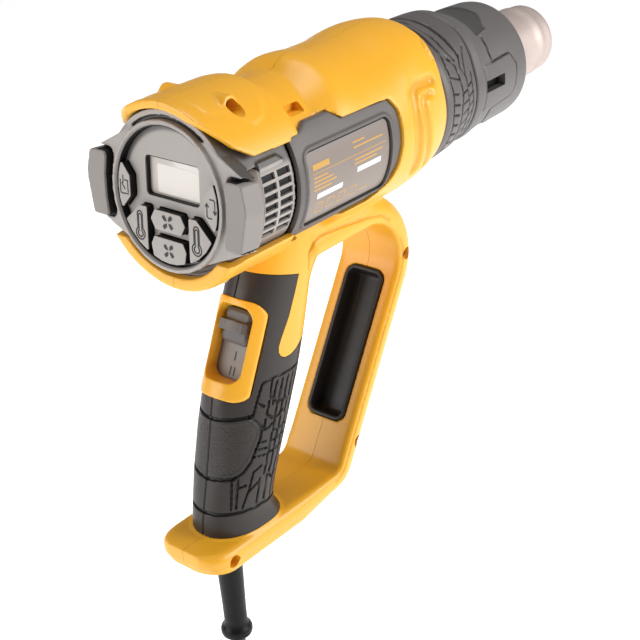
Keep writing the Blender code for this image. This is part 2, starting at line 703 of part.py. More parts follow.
def motor_parts():
    rear, front = 0.0600, 0.1000
    motor = turned("motor", [
        (rear - 0.0040, 0.0), (rear - 0.0040, 0.0045), (rear, 0.0045), (rear, MOTOR_R), (front, MOTOR_R),
        (front, 0.0)], 28)
    cut(motor, rod("motor_bore", (front - 0.0100, 0, 0), (front + 0.0100, 0, 0), SHAFT_R + GAP, 12))
    finish(motor, "steel")
    mount = turned("motor_mount", [
        (0.0610, MOTOR_R + GAP), (0.0610, 0.0330), (0.0630, 0.0330), (0.0630, 0.0210), (0.0960, 0.0210),
        (0.0960, MOTOR_R + GAP)], 28)
    for index in range(4):
        turn = Matrix.Rotation(math.radians(45.0 + 90.0 * index), 4, "X")
        cut(mount, box(f"air_way_{index}", (0.055, 0.0225, -0.0070), (0.070, 0.0305, 0.0070), turn))
    finish(mount, "black")
    fan = turned("fan", [
        (0.0920, 0.0), (0.0920, SHAFT_R), (front + 0.0010, SHAFT_R), (front + 0.0010, 0.0060),
        (0.1160, 0.0080), (0.1180, 0.0)], 20)
    pitch = Matrix.Rotation(math.radians(35.0), 4, "Z")
    for index in range(FAN_BLADES):
        turn = Matrix.Rotation(2 * math.pi / FAN_BLADES * index, 4, "X") @ Matrix.Translation((FAN_X, 0, 0))
        join(fan, box(f"blade_{index}", (-0.0065, -0.0006, 0.0040), (0.0065, 0.0006, 0.0290), turn @ pitch))
    finish(fan, "black")


def screws():
    for index, (x, z, head, tip) in enumerate(CASE_SCREWS, 1):
        top = (x, head - SCREW_HEAD_THICK, z)
        screw = rod(f"case_screw_{index}", top, (x, head - GAP, z), SCREW_HEAD_R, 14)
        join(screw, rod(f"screw_shank_{index}", (x, head - 0.0010, z), (x, tip, z), SCREW_SHANK_R, 10))
        finish(screw, "steel")


# ---------------------------------------------------------------- cord and plug

CORD_ROUTE = (
    (RELIEF_X, 0.0, RELIEF_END - GAP),
    (RELIEF_X, 0.0, -0.2450),
    (0.0112, 0.0002, -0.2620),
    (0.0125, 0.0018, -0.2780),
    (0.0175, 0.0075, -0.2920),
    (0.0275, 0.0155, -0.3005),
    (0.0400, 0.0205, LANDING),
    (0.0520, 0.0155, LANDING),
)


def smooth_route(points, spacing):
    """Evenly spaced points on the smooth curve through a route's points."""
    points = [Vector(p) for p in points]
    ends = [points[0] * 2 - points[1], *points, points[-1] * 2 - points[-2]]
    fine = []
    for a, b, c, d in zip(ends, ends[1:], ends[2:], ends[3:]):
        for i in range(24):
            t = i / 24
            fine.append(0.5 * (2 * b + (c - a) * t + (2 * a - 5 * b + 4 * c - d) * t * t
                               + (3 * b - a - 3 * c + d) * t ** 3))
    fine.append(points[-1])
    total = sum((b - a).length for a, b in zip(fine, fine[1:]))
    count = round(total / spacing)
    route, walked, target = [fine[0]], 0.0, 1
    for a, b in zip(fine, fine[1:]):
        walked += (b - a).length
        while target < count and walked >= total * target / count:
            route.append(b)
            target += 1
    return route + [fine[-1]]


def tube(name, route, diameter, resolution=2):
    curve = bpy.data.curves.new(name, "CURVE")
    curve.dimensions = "3D"
    curve.bevel_depth = diameter / 2
    curve.bevel_resolution = resolution
    curve.use_fill_caps = True
    spline = curve.splines.new("POLY")
    spline.points.add(len(route) - 1)
    for point, spot in zip(spline.points, route):
        point.co = (*spot, 1.0)
    return place(name, curve)


def cord_parts():
    flange_r, ring_r = 0.0072, 0.0075
    relief = turned("strain_relief", [
        (RELIEF_TOP + 0.0020, 0.0), (RELIEF_TOP + 0.0020, flange_r), (RELIEF_TOP, flange_r),
        (RELIEF_TOP, RELIEF_NECK_R), (RELIEF_END + 0.0060, 0.0056), (RELIEF_END + 0.0045, ring_r),
        (RELIEF_END, ring_r), (RELIEF_END, 0.0)], 24, "Z", (RELIEF_X, 0.0, 0.0))
    finish(relief, "black")
    finish(box("cord_clamp", (0.0090, -0.0060, -0.1500), (0.0200, 0.0060, -0.1440)), "black")
    finish(tube("cord", smooth_route(CORD_ROUTE, CORD_STEP), CORD_D), "cord")


def cord_end():
    """Coil with its tie, and the cord's last stretch to the plug."""
    inner, outer = COIL_R - 1.5 * CORD_D, COIL_R + 1.5 * CORD_D
    section = rounded(rectangle(COIL_LOW, COIL_HIGH, inner, outer), CORD_D / 2, 2)
    coil = turned("cord_coil", [tuple(point) for point in section], 40, "Z", (*COIL_CENTRE, 0.0))
    finish(coil, "cord")
    around = Matrix.Translation((*COIL_CENTRE, 0.0)) @ UPRIGHT
    middle = (COIL_LOW + COIL_HIGH) / 2
    reach = 1.5 * CORD_D + GAP
    bulge = 0.0006          # how far the coil's inner side curves in across the tie's width
    room = rectangle(-COIL_R - reach, -COIL_R + reach + bulge, middle - reach, middle + reach)
    corner = 0.0030
    outline = rounded(grown(room, TIE_THICK), corner + TIE_THICK, 3)
    band = prism("cord_tie", outline, -TIE_HALF_WIDTH, TIE_HALF_WIDTH, around)
    cut(band, prism("tie_room", rounded(room, corner, 3), -2 * TIE_HALF_WIDTH, 2 * TIE_HALF_WIDTH, around))
    finish(band, "rubber")
    tail_y = COIL_CENTRE[1] - COIL_R - CORD_D
    tail_z = COIL_LOW + CORD_D / 2
    tail = ((COIL_CENTRE[0] - 0.0290, tail_y, tail_z), (COIL_CENTRE[0] - 0.0350, tail_y, tail_z),
            (PLUG_REAR + 0.0060, tail_y, PLUG_Z), (PLUG_REAR + GAP, tail_y, PLUG_Z))
    finish(tube("cord_tail", smooth_route(tail, CORD_STEP), CORD_D), "cord")
    plug(tail_y)


def plug(y):
    """Two-pin contour plug on its side, its pins pointing away from the coil."""
    sections = ((0.0, 0.0050, 0.0050), (-PLUG_NECK * 0.5, 0.0060, 0.0060), (-PLUG_NECK, 0.0085, 0.0072),
                (-PLUG_NECK - 0.006, 0.0140, 0.0080), (-PLUG_NECK - 0.016, 0.0172, 0.0081),
                (-PLUG_NECK - PLUG_BODY, 0.0178, 0.0081))
    rings = []
    for x, half_width, half_height in sections:
        corners = rectangle(-half_width, half_width, -half_height, half_height)
        outline = rounded(corners, half_height * 0.6, 2)
        rings.append([(PLUG_REAR + x, y + across, PLUG_Z + up) for across, up in outline])
    body = loft("plug_body", rings)
    face = PLUG_REAR - PLUG_NECK - PLUG_BODY
    for index, across in enumerate((-PLUG_PIN_SPACING / 2, PLUG_PIN_SPACING / 2), 1):
        floor, root, tip = (Vector((face + out, y + across, PLUG_Z))
                            for out in (PLUG_PIN_IN + GAP, PLUG_PIN_IN, -PLUG_PIN_OUT))
        cut(body, rod(f"pin_hole_{index}", floor, tip, PLUG_PIN_R + GAP, 14))
        finish(rod(f"plug_pin_{index}", root, tip, PLUG_PIN_R, 14), "steel")
    finish(body, "black")


MATERIALS = {
    "housing": material("amber_plastic", YELLOW, 0.38),
    "module": material("grey_plastic", GREY, 0.50),
    "black": material("black_plastic", DARK, 0.45),
    "grip": material("soft_grip", SOFT, 0.75),
    "rubber": material("soft_rubber", SOFT, 0.80),
    "label": material("label_foil", GREY, 0.35),
    "lens": material("display_lens", (0.70, 0.70, 0.64), 0.15),
    "steel": material("steel", STEEL, 0.35, 1.0),
    "nozzle": material("nozzle_steel", TINTED_STEEL, 0.32, 1.0),
    "mica": material("mica", (0.55, 0.50, 0.42), 0.6),
    "ceramic": material("ceramic", (0.80, 0.76, 0.68), 0.8),
    "cord": material("cord_sheath", (0.02, 0.02, 0.021), 0.55),
    "board": material("board", (0.05, 0.18, 0.09), 0.5),
}


def finish(part, finish_name):
    part.data.materials.clear()
    part.data.materials.append(MATERIALS[finish_name])
    return part


def main():
    for side in (1, -1):
        housing(side)
        grip(side)
        side_fittings(side)
        ear_pad(side)
    rear_cover()
    control_panel()
    switch_parts()
    guard_tray()
    front_parts()
    motor_parts()
    heater()
    screws()
    cord_parts()
    cord_end()


main()
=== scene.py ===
"""Looks of the heat gun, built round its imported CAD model.

Shapes are drawn in millimetres in the drawing's frame, which is part.py's: X forward
along the barrel from the rear panel, Y to the left, Z up from the barrel's axis.
settle() takes a finished piece from there to the world, in metres.
"""

import json
import math

import bmesh
import bpy
import numpy as np
from mathutils import Matrix, Vector


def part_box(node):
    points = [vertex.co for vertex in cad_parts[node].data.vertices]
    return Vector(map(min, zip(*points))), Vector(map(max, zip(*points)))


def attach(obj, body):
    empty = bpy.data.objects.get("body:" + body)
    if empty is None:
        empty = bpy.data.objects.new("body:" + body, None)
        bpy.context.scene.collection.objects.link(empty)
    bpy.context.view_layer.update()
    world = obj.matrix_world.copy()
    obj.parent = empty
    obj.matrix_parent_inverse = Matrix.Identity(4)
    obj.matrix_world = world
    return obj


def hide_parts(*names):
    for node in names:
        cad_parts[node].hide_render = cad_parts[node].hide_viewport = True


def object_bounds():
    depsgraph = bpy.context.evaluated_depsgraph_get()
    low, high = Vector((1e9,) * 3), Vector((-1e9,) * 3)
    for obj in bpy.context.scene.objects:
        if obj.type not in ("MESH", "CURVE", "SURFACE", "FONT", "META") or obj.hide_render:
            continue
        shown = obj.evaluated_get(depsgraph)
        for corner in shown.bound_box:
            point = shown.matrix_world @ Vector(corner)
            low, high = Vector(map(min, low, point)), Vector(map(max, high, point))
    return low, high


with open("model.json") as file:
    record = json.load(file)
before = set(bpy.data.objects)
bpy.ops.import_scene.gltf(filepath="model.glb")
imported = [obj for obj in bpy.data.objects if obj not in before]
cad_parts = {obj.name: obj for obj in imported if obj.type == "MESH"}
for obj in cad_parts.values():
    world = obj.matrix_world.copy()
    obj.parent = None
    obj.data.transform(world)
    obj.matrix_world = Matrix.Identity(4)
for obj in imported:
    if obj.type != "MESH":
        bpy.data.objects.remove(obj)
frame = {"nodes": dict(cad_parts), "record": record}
CAD_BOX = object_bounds()

# The drawing's origin, from the nozzle's rim and axis
NOZZLE_END = 263.1
nozzle_low, nozzle_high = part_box("nozzle_tube")
ORIGIN = Vector((nozzle_high.x - NOZZLE_END / 1000, 0.0, (nozzle_low.z + nozzle_high.z) / 2))
TO_WORLD = Matrix.Translation(ORIGIN) @ Matrix.Scale(0.001, 4)

GAP = 0.3
HOOD_R, NECK_R, BARREL_R, BORE_R = 40.2, 35.2, 39.5, 36.8
MODULE_R, MODULE_LENGTH = 36.0, 37.5
FRONT_X, COLLAR_END, SHIELD_END = 145.3, 174.0, 221.3
NOZZLE_R = 17.5
PANEL_TILT = math.radians(5.53)
BEZEL_R, DISC_R, DISC_DEPTH = 31.7, 29.2, 3.3
LOOP_TOP, LOOP_BASE, RAKE = -47.5, -163.3, math.radians(59.0)
LOOP_FRONT = Vector((123.3, -78.5))
LOOP_THICK, LOOP_HALF_WIDTH = 13.5, 19.0
GRIP_THICK = 3.0

# Handle: height, rear and front of each section, half width
HANDLE = np.array(((-162.9, -3.0, 40.5, 17.8), (-158.0, -2.7, 36.0, 16.6), (-149.7, -0.8, 36.5, 17.0),
                   (-137.0, 2.6, 40.0, 18.2), (-115.0, 8.0, 50.5, 18.5), (-98.8, 11.8, 60.0, 17.2),
                   (-80.0, 20.5, 67.5, 16.4), (-57.4, 31.6, 73.5, 16.4), (-42.0, 39.0, 85.0, 17.2),
                   (-30.0, 45.0, 93.0, 17.2)))
HANDLE_FOOT, HANDLE_TOP = HANDLE[0, 0], HANDLE[-1, 0]
HANDLE_REAR_SHARE = 0.58
HANDLE_SQUARENESS = 2.25


# ---------------------------------------------------------------- camera and light

def camera():
    """The main view of the gun: from behind, right and above."""
    lens = bpy.data.cameras.new("camera")
    lens.sensor_width = 36.0
    lens.lens = 77.6
    made = bpy.data.objects.new("camera", lens)
    place = Matrix.Translation((-0.376242, -0.390653, 0.316594))
    right = (0.64348, -0.76274, -0.06446)
    up = (0.38103, 0.24613, 0.89120)
    back = (-0.66389, -0.59803, 0.44901)
    made.matrix_world = place @ Matrix((right, up, back)).transposed().to_4x4()
    bpy.context.scene.collection.objects.link(made)
    bpy.context.scene.camera = made


def softbox(name, place, aim, size, power):
    light = bpy.data.lights.new(name, "AREA")
    light.shape = "DISK"
    light.size = size
    light.energy = power
    made = bpy.data.objects.new(name, light)
    made.location = place
    made.rotation_euler = (Vector(aim) - Vector(place)).to_track_quat("-Z", "Y").to_euler()
    bpy.context.scene.collection.objects.link(made)


def studio():
    """Pale floor, pale surroundings, a tall soft light on each side and a weak one above."""
    world = bpy.data.worlds.new("studio")
    world.use_nodes = True
    world.node_tree.nodes["Background"].inputs["Color"].default_value = (1.0, 1.0, 1.0, 1.0)
    world.node_tree.nodes["Background"].inputs["Strength"].default_value = 0.21
    bpy.context.scene.world = world
    floor_mesh = bpy.data.meshes.new("floor")
    shape = bmesh.new()
    bmesh.ops.create_grid(shape, x_segments=1, y_segments=1, size=6.0)
    shape.to_mesh(floor_mesh)
    shape.free()
    floor = bpy.data.objects.new("floor", floor_mesh)
    floor.location.z = CAD_BOX[0][2] - 0.0002
    bpy.context.scene.collection.objects.link(floor)
    paint = bpy.data.materials.new("floor_paint")
    paint.use_nodes = True
    shader = paint.node_tree.nodes["Principled BSDF"]
    shader.inputs["Base Color"].default_value = (0.93, 0.93, 0.93, 1.0)
    shader.inputs["Roughness"].default_value = 0.9
    shader.inputs["Specular IOR Level"].default_value = 0.0
    shader.inputs["Emission Color"].default_value = (1.0, 1.0, 1.0, 1.0)
    shader.inputs["Emission Strength"].default_value = 0.72
    floor.data.materials.append(paint)
    softbox("right", (0.55, -0.95, 0.45), (0.03, 0.0, 0.02), 0.8, 10.5)
    softbox("left", (-0.95, 0.50, 0.30), (0.0, 0.0, 0.05), 0.8, 6.5)
    softbox("top", (0.15, 0.05, 1.15), (0.05, 0.0, 0.1), 0.7, 5.0)
    bpy.context.scene.view_settings.view_transform = "Standard"


# ---------------------------------------------------------------- shapes

def mesh_object(name, shape):
    mesh = bpy.data.meshes.new(name)
    shape.to_mesh(mesh)
    shape.free()
    made = bpy.data.objects.new(name, mesh)
    bpy.context.scene.collection.objects.link(made)
    return made


def apply(part):
    """Keep the shape that a part's modifiers give."""
    graph = bpy.context.evaluated_depsgraph_get()
    mesh = bpy.data.meshes.new_from_object(part.evaluated_get(graph))
    part.modifiers.clear()
    old = part.data
    part.data = mesh
    bpy.data.meshes.remove(old)
    return part


def boolean(part, tools, operation):
    before = len(part.data.vertices)
    for tool in tools:
        for solver in ("MANIFOLD", "EXACT"):
            change = part.modifiers.new(solver, "BOOLEAN")
            change.operation = operation
            change.solver = solver
            change.object = tool
            graph = bpy.context.evaluated_depsgraph_get()
            count = len(part.evaluated_get(graph).data.vertices)
            if count not in (0, before):
                break
            part.modifiers.remove(change)
        apply(part)
        before = len(part.data.vertices)
        bpy.data.objects.remove(tool, do_unlink=True)
    return part


def cut(part, *tools):
    return boolean(part, tools, "DIFFERENCE")


def join(part, *tools):
    return boolean(part, tools, "UNION")


def clip(part, *tools):
    return boolean(part, tools, "INTERSECT")


def merged(name, parts):
    """Separate shapes as one object, for cuts that don't meet."""
    shape = bmesh.new()
    for part in parts:
        part.data.transform(part.matrix_world)
        shape.from_mesh(part.data)
        bpy.data.objects.remove(part, do_unlink=True)
    return mesh_object(name, shape)


def twin(part, name):
    """Copy of a part with a mesh of its own."""
    made = part.copy()
    made.data = part.data.copy()
    made.name = name
    bpy.context.scene.collection.objects.link(made)
    return made


def moved(part, matrix):
    part.data.transform(matrix)
    return part


def soften(part, voxel, rounds, share=None):
    """Remesh evenly and smooth, which rounds every edge as moulding does; share weighs each point."""
    remesh = part.modifiers.new("remesh", "REMESH")
    remesh.mode = "VOXEL"
    remesh.voxel_size = voxel * 1.0
    apply(part)
    smooth = part.modifiers.new("smooth", "SMOOTH")
    smooth.factor = 0.5
    smooth.iterations = rounds
    if share:
        group = part.vertex_groups.new(name="share")
        steps = np.round(share(points_of(part)) * 10).astype(int)
        for tenth in range(11):
            group.add(np.flatnonzero(steps == tenth).tolist(), tenth / 10, "REPLACE")
        smooth.vertex_group = "share"
    apply(part)
    part.vertex_groups.clear()
    return part


def polish(part, where, rounds):
    """Smooth only the points of a part that are picked out."""
    group = part.vertex_groups.new(name="polish")
    group.add(np.flatnonzero(where).tolist(), 1.0, "REPLACE")
    smooth = part.modifiers.new("smooth", "SMOOTH")
    smooth.factor = 0.5
    smooth.iterations = rounds
    smooth.vertex_group = "polish"
    apply(part)
    part.vertex_groups.clear()


def rounded_edges(part, width, segments=3, angle=30.0):
    bevel = part.modifiers.new("bevel", "BEVEL")
    bevel.width = width
    bevel.segments = segments
    bevel.limit_method = "ANGLE"
    bevel.angle_limit = math.radians(angle)
    return apply(part)


def box(name, low, high, matrix=Matrix()):
    low, high = Vector(low), Vector(high)
    shape = bmesh.new()
    bmesh.ops.create_cube(shape, size=1.0)
    bmesh.ops.scale(shape, vec=high - low, verts=shape.verts)
    bmesh.ops.translate(shape, vec=(low + high) / 2, verts=shape.verts)
    bmesh.ops.transform(shape, matrix=matrix, verts=shape.verts)
    return mesh_object(name, shape)


def rod(name, start, end, radius, sides=32):
    start, end = Vector(start), Vector(end)
    along = end - start
    shape = bmesh.new()
    bmesh.ops.create_cone(shape, cap_ends=True, segments=sides, radius1=radius, radius2=radius,
                          depth=along.length)
    turn = along.to_track_quat("Z", "Y").to_matrix().to_4x4()
    bmesh.ops.transform(shape, matrix=Matrix.Translation((start + end) / 2) @ turn, verts=shape.verts)
    return mesh_object(name, shape)


def turned(name, profile, steps=160, axis="X", centre=(0.0, 0.0, 0.0), pitch=None):
    """Turned body through (along, radius); pitch splits its long runs so that they can be engraved."""
    profile = [Vector(p) for p in profile]
    solid = min(p.y for p in profile) == 0.0
    if not solid:
        profile.append(profile[0])
    if pitch:
        fine = [profile[0]]
        for a, b in zip(profile, profile[1:]):
            count = max(1, round((b - a).length / pitch))
            fine += [a.lerp(b, (i + 1) / count) for i in range(count)]
        profile = fine
    if not solid:
        profile = profile[:-1]
    shape = bmesh.new()
    rows = []
    for along, radius in profile:
        if radius == 0.0:
            rows.append([shape.verts.new((along, 0.0, 0.0))] * steps)
        else:
            rows.append([shape.verts.new((along, -radius * math.cos(2 * math.pi * i / steps),
                                          radius * math.sin(2 * math.pi * i / steps))) for i in range(steps)])
    pairs = list(zip(rows, rows[1:])) + ([] if solid else [(rows[-1], rows[0])])
    for a, b in pairs:
        for i in range(steps):
            corners = [a[i - 1], a[i], b[i], b[i - 1]]
            corners = [v for j, v in enumerate(corners) if v not in corners[:j]]
            if len(corners) > 2:
                shape.faces.new(corners)
    bmesh.ops.recalc_face_normals(shape, faces=shape.faces)
    if axis == "Z":
        bmesh.ops.transform(shape, matrix=Matrix.Rotation(-math.pi / 2, 4, "Y"), verts=shape.verts)
    bmesh.ops.translate(shape, vec=centre, verts=shape.verts)
    return mesh_object(name, shape)


def tube(name, start, end, inner, outer, steps=160):
    """Turned ring between two places and two radii."""
    return turned(name, [(start, inner), (start, outer), (end, outer), (end, inner)], steps)


def level(plane, outline, height):
    """Outline at a height over a plane, as a ring for a loft."""
    return [plane @ Vector((across, up, height)) for across, up in outline]


def loft(name, rings):
    """Closed body through rings that have the same number of points."""
    shape = bmesh.new()
    rows = [[shape.verts.new(point) for point in ring] for ring in rings]
    for low, high in zip(rows, rows[1:]):
        for i in range(len(low)):
            shape.faces.new((low[i - 1], low[i], high[i], high[i - 1]))
    shape.faces.new(rows[0][::-1])
    shape.faces.new(rows[-1])
    bmesh.ops.recalc_face_normals(shape, faces=shape.faces)
    return mesh_object(name, shape)


def prism(name, outline, low, high, matrix=Matrix()):
    """Flat outline in local X and Y, extruded along local Z from low to high."""
    shape = bmesh.new()
    face = shape.faces.new([shape.verts.new((x, y, low)) for x, y in outline])
    grown_up = bmesh.ops.extrude_face_region(shape, geom=[face])["geom"]
    bmesh.ops.translate(shape, vec=(0, 0, high - low),
                        verts=[v for v in grown_up if isinstance(v, bmesh.types.BMVert)])
    bmesh.ops.triangulate(shape, faces=shape.faces)
    bmesh.ops.recalc_face_normals(shape, faces=shape.faces)
    bmesh.ops.transform(shape, matrix=matrix, verts=shape.verts)
    return mesh_object(name, shape)


def fillet(before, corner, after, radius, steps):
    """Points round a corner, from one of its sides to the other."""
    back, ahead = (before - corner).normalized(), (after - corner).normalized()
    half = back.angle(ahead) / 2
    centre = corner + (back + ahead).normalized() * radius / math.sin(half)
    reach = radius / math.tan(half)
    start, end = corner + back * reach - centre, corner + ahead * reach - centre
    return [centre + start.lerp(end, i / steps).normalized() * radius for i in range(steps + 1)]


def rounded(corners, radius, steps=6):
    """Outline with all its corners rounded."""
    points = [Vector(corner) for corner in corners]
    outline = []
    for i, corner in enumerate(points):
        outline += fillet(points[i - 1], corner, points[(i + 1) % len(points)], radius, steps)
    return outline


def grown(outline, by):
    """Outline moved outwards by a distance, or inwards if that is below zero."""
    points = [Vector(point) for point in outline]
    area = sum(a.x * b.y - b.x * a.y for a, b in zip(points, points[1:] + points[:1]))
    side = by if area > 0 else -by
    moved_points = []
    for i, point in enumerate(points):
        ahead, back = points[(i + 1) % len(points)] - point, point - points[i - 1]
        normals = [Vector((edge.y, -edge.x)).normalized() for edge in (back, ahead)]
        middle = (normals[0] + normals[1]).normalized()
        moved_points.append(point + middle * side / max(0.3, middle.dot(normals[0])))
    return moved_points


def rectangle(left, right, low, high):
    return [(left, low), (right, low), (right, high), (left, high)]


def mirrored(outline):
    return [(-across, up) for across, up in reversed(outline)]


def rounded_box(left, right, low, high, radius, steps=6):
    return rounded(rectangle(left, right, low, high), radius, steps)


# Plane of the side view: local X forward, local Y up, local Z to the right
UPRIGHT = Matrix(((1, 0, 0, 0), (0, 0, -1, 0), (0, 1, 0, 0), (0, 0, 0, 1)))


def rear_plane(point, tilt):
    """Plane on the gun's rear: local X to the right, local Y up along the tilt, local Z rearwards."""
    lean, rise = math.sin(tilt), math.cos(tilt)
    return Matrix(((0, lean, -rise, point[0]), (-1, 0, 0, 0), (0, rise, lean, point[1]), (0, 0, 0, 1)))


PANEL = rear_plane((0.0, 0.5), PANEL_TILT)
SWITCH = rear_plane((11.3, -98.8), math.atan2(20.3, 41.4))
TRAY = Matrix(((0, math.cos(RAKE), -math.sin(RAKE), LOOP_FRONT.x), (-1, 0, 0, 0),
               (0, math.sin(RAKE), math.cos(RAKE), LOOP_FRONT.y), (0, 0, 0, 1)))
# Turns a body that is turned round X so that its axis stands on the panel
ON_PANEL = PANEL @ Matrix.Rotation(-math.pi / 2, 4, "Y")


def on_side(part, side):
    """A part drawn on the right, moved to the given side."""
    if side > 0:
        moved(part, Matrix.Scale(-1, 4, (0, 1, 0))).data.flip_normals()
    return part


def half(side):
    """Room on one side of the middle plane, a little apart from it."""
    near, far = sorted((side * 0.1, side * 80.0))
    return box("half", (-100, near, -250), (300, far, 100))


# ---------------------------------------------------------------- surface detail

def points_of(part):
    co = np.empty(len(part.data.vertices) * 3)
    part.data.vertices.foreach_get("co", co)
    return co.reshape(-1, 3)


def put_points(part, co):
    part.data.vertices.foreach_set("co", co.ravel())
    part.data.update()


def radius_of(co):
    """Distance of each point from the barrel's axis."""
    return np.hypot(co[:, 1], co[:, 2])


def normals_of(part):
    normals = np.empty(len(part.data.vertices) * 3)
    part.data.vertex_normals.foreach_get("vector", normals)
    return normals.reshape(-1, 3)


def mark(part, name, values):
    """Keep a 0 to 1 value at each point, for the material; the larger one stays."""
    field = part.data.attributes.get(name) or part.data.attributes.new(name, "FLOAT", "POINT")
    old = np.empty(len(values), np.float32)
    field.data.foreach_get("value", old)
    field.data.foreach_set("value", np.maximum(old, values).astype(np.float32))


def distance_to(flat, lines):
    """Distance of each flat point to the nearest of several lines of points."""
    best = np.full(len(flat), 1e9)
    for line in lines:
        for a, b in zip(np.array(line[:-1], float), np.array(line[1:], float)):
            run = b - a
            share = np.clip(((flat - a) @ run) / max(run @ run, 1e-12), 0, 1)
            best = np.minimum(best, np.linalg.norm(flat - a - share[:, None] * run, axis=1))
    return best


def inside(flat, outline):
    """Which flat points lie in a closed outline."""
    found = np.zeros(len(flat), bool)
    corners = np.array([tuple(p) for p in outline], float)
    for a, b in zip(corners, np.roll(corners, -1, axis=0)):
        crosses = (a[1] > flat[:, 1]) != (b[1] > flat[:, 1])
        with np.errstate(divide="ignore", invalid="ignore"):
            at = (b[0] - a[0]) * (flat[:, 1] - a[1]) / (b[1] - a[1]) + a[0]
        found ^= crosses & (flat[:, 0] < at)
    return found


def step(values):
    """Smooth rise from 0 to 1 while the values go from 0 to 1."""
    values = np.clip(values, 0, 1)
    return values * values * (3 - 2 * values)


def engrave(part, flat, lines, half_width, depth, where=None, shade=1.0, soft=0.0):
    """Press grooves into a part along lines drawn on its unrolled surface, with painted shade in them."""
    shape = step((half_width + soft - distance_to(flat, lines)) / max(half_width - soft, 1e-6) if soft else
                 1.6 * (1 - distance_to(flat, lines) / half_width))
    if where is not None:
        shape = shape * where
    put_points(part, points_of(part) - normals_of(part) * (shape * depth)[:, None])
    # Painted shade along the grooves: this mark darkens the material's colour there
    mark(part, "painted_shade", shape * shade)


def emboss(part, flat, outline, rise, edge, where=None):
    """Raise or sink the area inside an outline, with an edge of the given width."""
    side = np.where(inside(flat, outline), 1.0, -1.0)
    closed = [list(map(tuple, outline)) + [tuple(outline[0])]]
    shape = step(0.5 + side * distance_to(flat, closed) / edge)
    if where is not None:
        shape = shape * where
    put_points(part, points_of(part) + normals_of(part) * (shape * rise)[:, None])
    return shape


def unrolled(co, radius):
    """Barrel points as (x, arc length from the horizontal on the nearer flank)."""
    angle = np.arctan2(co[:, 2], np.abs(co[:, 1]))
    return np.stack((co[:, 0], angle * radius), axis=1)


def on_barrel(points, radius):
    """(x, degrees above the horizontal) as unrolled points."""
    return [(x, math.radians(angle) * radius) for x, angle in points]


# ---------------------------------------------------------------- materials

# Places of the colour sockets on the mix node
MIX_FACTOR, MIX_A, MIX_B, MIX_RESULT = 0, 6, 7, 2
GRAIN_SCALE = 1400.0


def surface(name, colour, roughness, metallic=0.0, spread=0.06, relief=0.05, painted_shade=0.0, coat=0.0,
            leather=False, brushed=False, tint=None, specular=0.5):
    """Moulded or metal surface: colour drifts slowly, roughness varies finely, a fine grain catches light."""
    made = bpy.data.materials.new(name)
    made.use_nodes = True
    nodes, links = made.node_tree.nodes, made.node_tree.links
    shader = nodes["Principled BSDF"]

    def connect(made_node, inputs):
        for socket, value in inputs.items():
            target = made_node.inputs[socket]
            if isinstance(value, bpy.types.NodeSocket):
                links.new(value, target)
            else:
                target.default_value = value
        return made_node

    def node(kind, inputs, **settings):
        made_node = nodes.new("ShaderNode" + kind)
        for setting, value in settings.items():
            setattr(made_node, setting, value)
        return connect(made_node, inputs)

    def noise(scale, detail=3.0, stretch=None):
        source = place
        if stretch:
            source = node("Mapping", {"Vector": place, "Scale": stretch}).outputs["Vector"]
        return node("TexNoise", {"Vector": source, "Scale": scale, "Detail": detail}).outputs["Fac"]

    def ramp(value, low, high):
        return node("MapRange", {"Value": value, "To Min": low, "To Max": high}).outputs["Result"]

    def product(first, second):
        return node("Math", {0: first, 1: second}, operation="MULTIPLY").outputs["Value"]

    def field(attribute):
        return node("Attribute", {}, attribute_name=attribute).outputs["Fac"]

    def mix(factor, first, second):
        return node("Mix", {MIX_FACTOR: factor, MIX_A: first, MIX_B: second},
                    data_type="RGBA").outputs[MIX_RESULT]

    place = node("TexCoord", {}).outputs["Object"]
    darker = (*(c * (1 - spread) for c in colour), 1.0)
    lighter = (*(min(1.0, c * (1 + spread)) for c in colour), 1.0)
    base = mix(ramp(noise(45.0), 0.0, 1.0), darker, lighter)
    for low, high, tint_colour in tint or ():
        along = node("SeparateXYZ", {"Vector": place}).outputs["X"]
        band = node("MapRange", {"Value": along, "From Min": low, "From Max": high},
                    interpolation_type="SMOOTHSTEP")
        cloud = product(band.outputs["Result"], ramp(noise(70.0), 0.45, 1.15))
        base = mix(cloud, base, (*tint_colour, 1.0))
    # Painted shade: the colour darkens towards 0.12 of itself where a part's marked shade value is set
    if painted_shade:
        base = mix(ramp(field("painted_shade"), 0.0, painted_shade), base, (*(c * 0.12 for c in colour), 1.0))
    rough = ramp(noise(GRAIN_SCALE * 0.35), roughness - 0.07, roughness + 0.07)
    height = noise(GRAIN_SCALE, 2.0, (0.04, 1.0, 1.0) if brushed else None)
    bump = node("Bump", {"Height": height, "Distance": 0.0002, "Strength": relief}).outputs["Normal"]
    if leather:
        cells = node("TexVoronoi", {"Vector": place, "Scale": 1500.0, "Randomness": 1.0}).outputs["Distance"]
        bump = node("Bump", {"Height": product(cells, field("leather")), "Distance": 0.0004, "Strength": 0.7,
                             "Normal": bump}, invert=True).outputs["Normal"]
    connect(shader, {"Base Color": base, "Roughness": rough, "Normal": bump, "Metallic": metallic,
                     "Coat Weight": coat, "Coat Roughness": 0.25, "Specular IOR Level": specular})
    return made


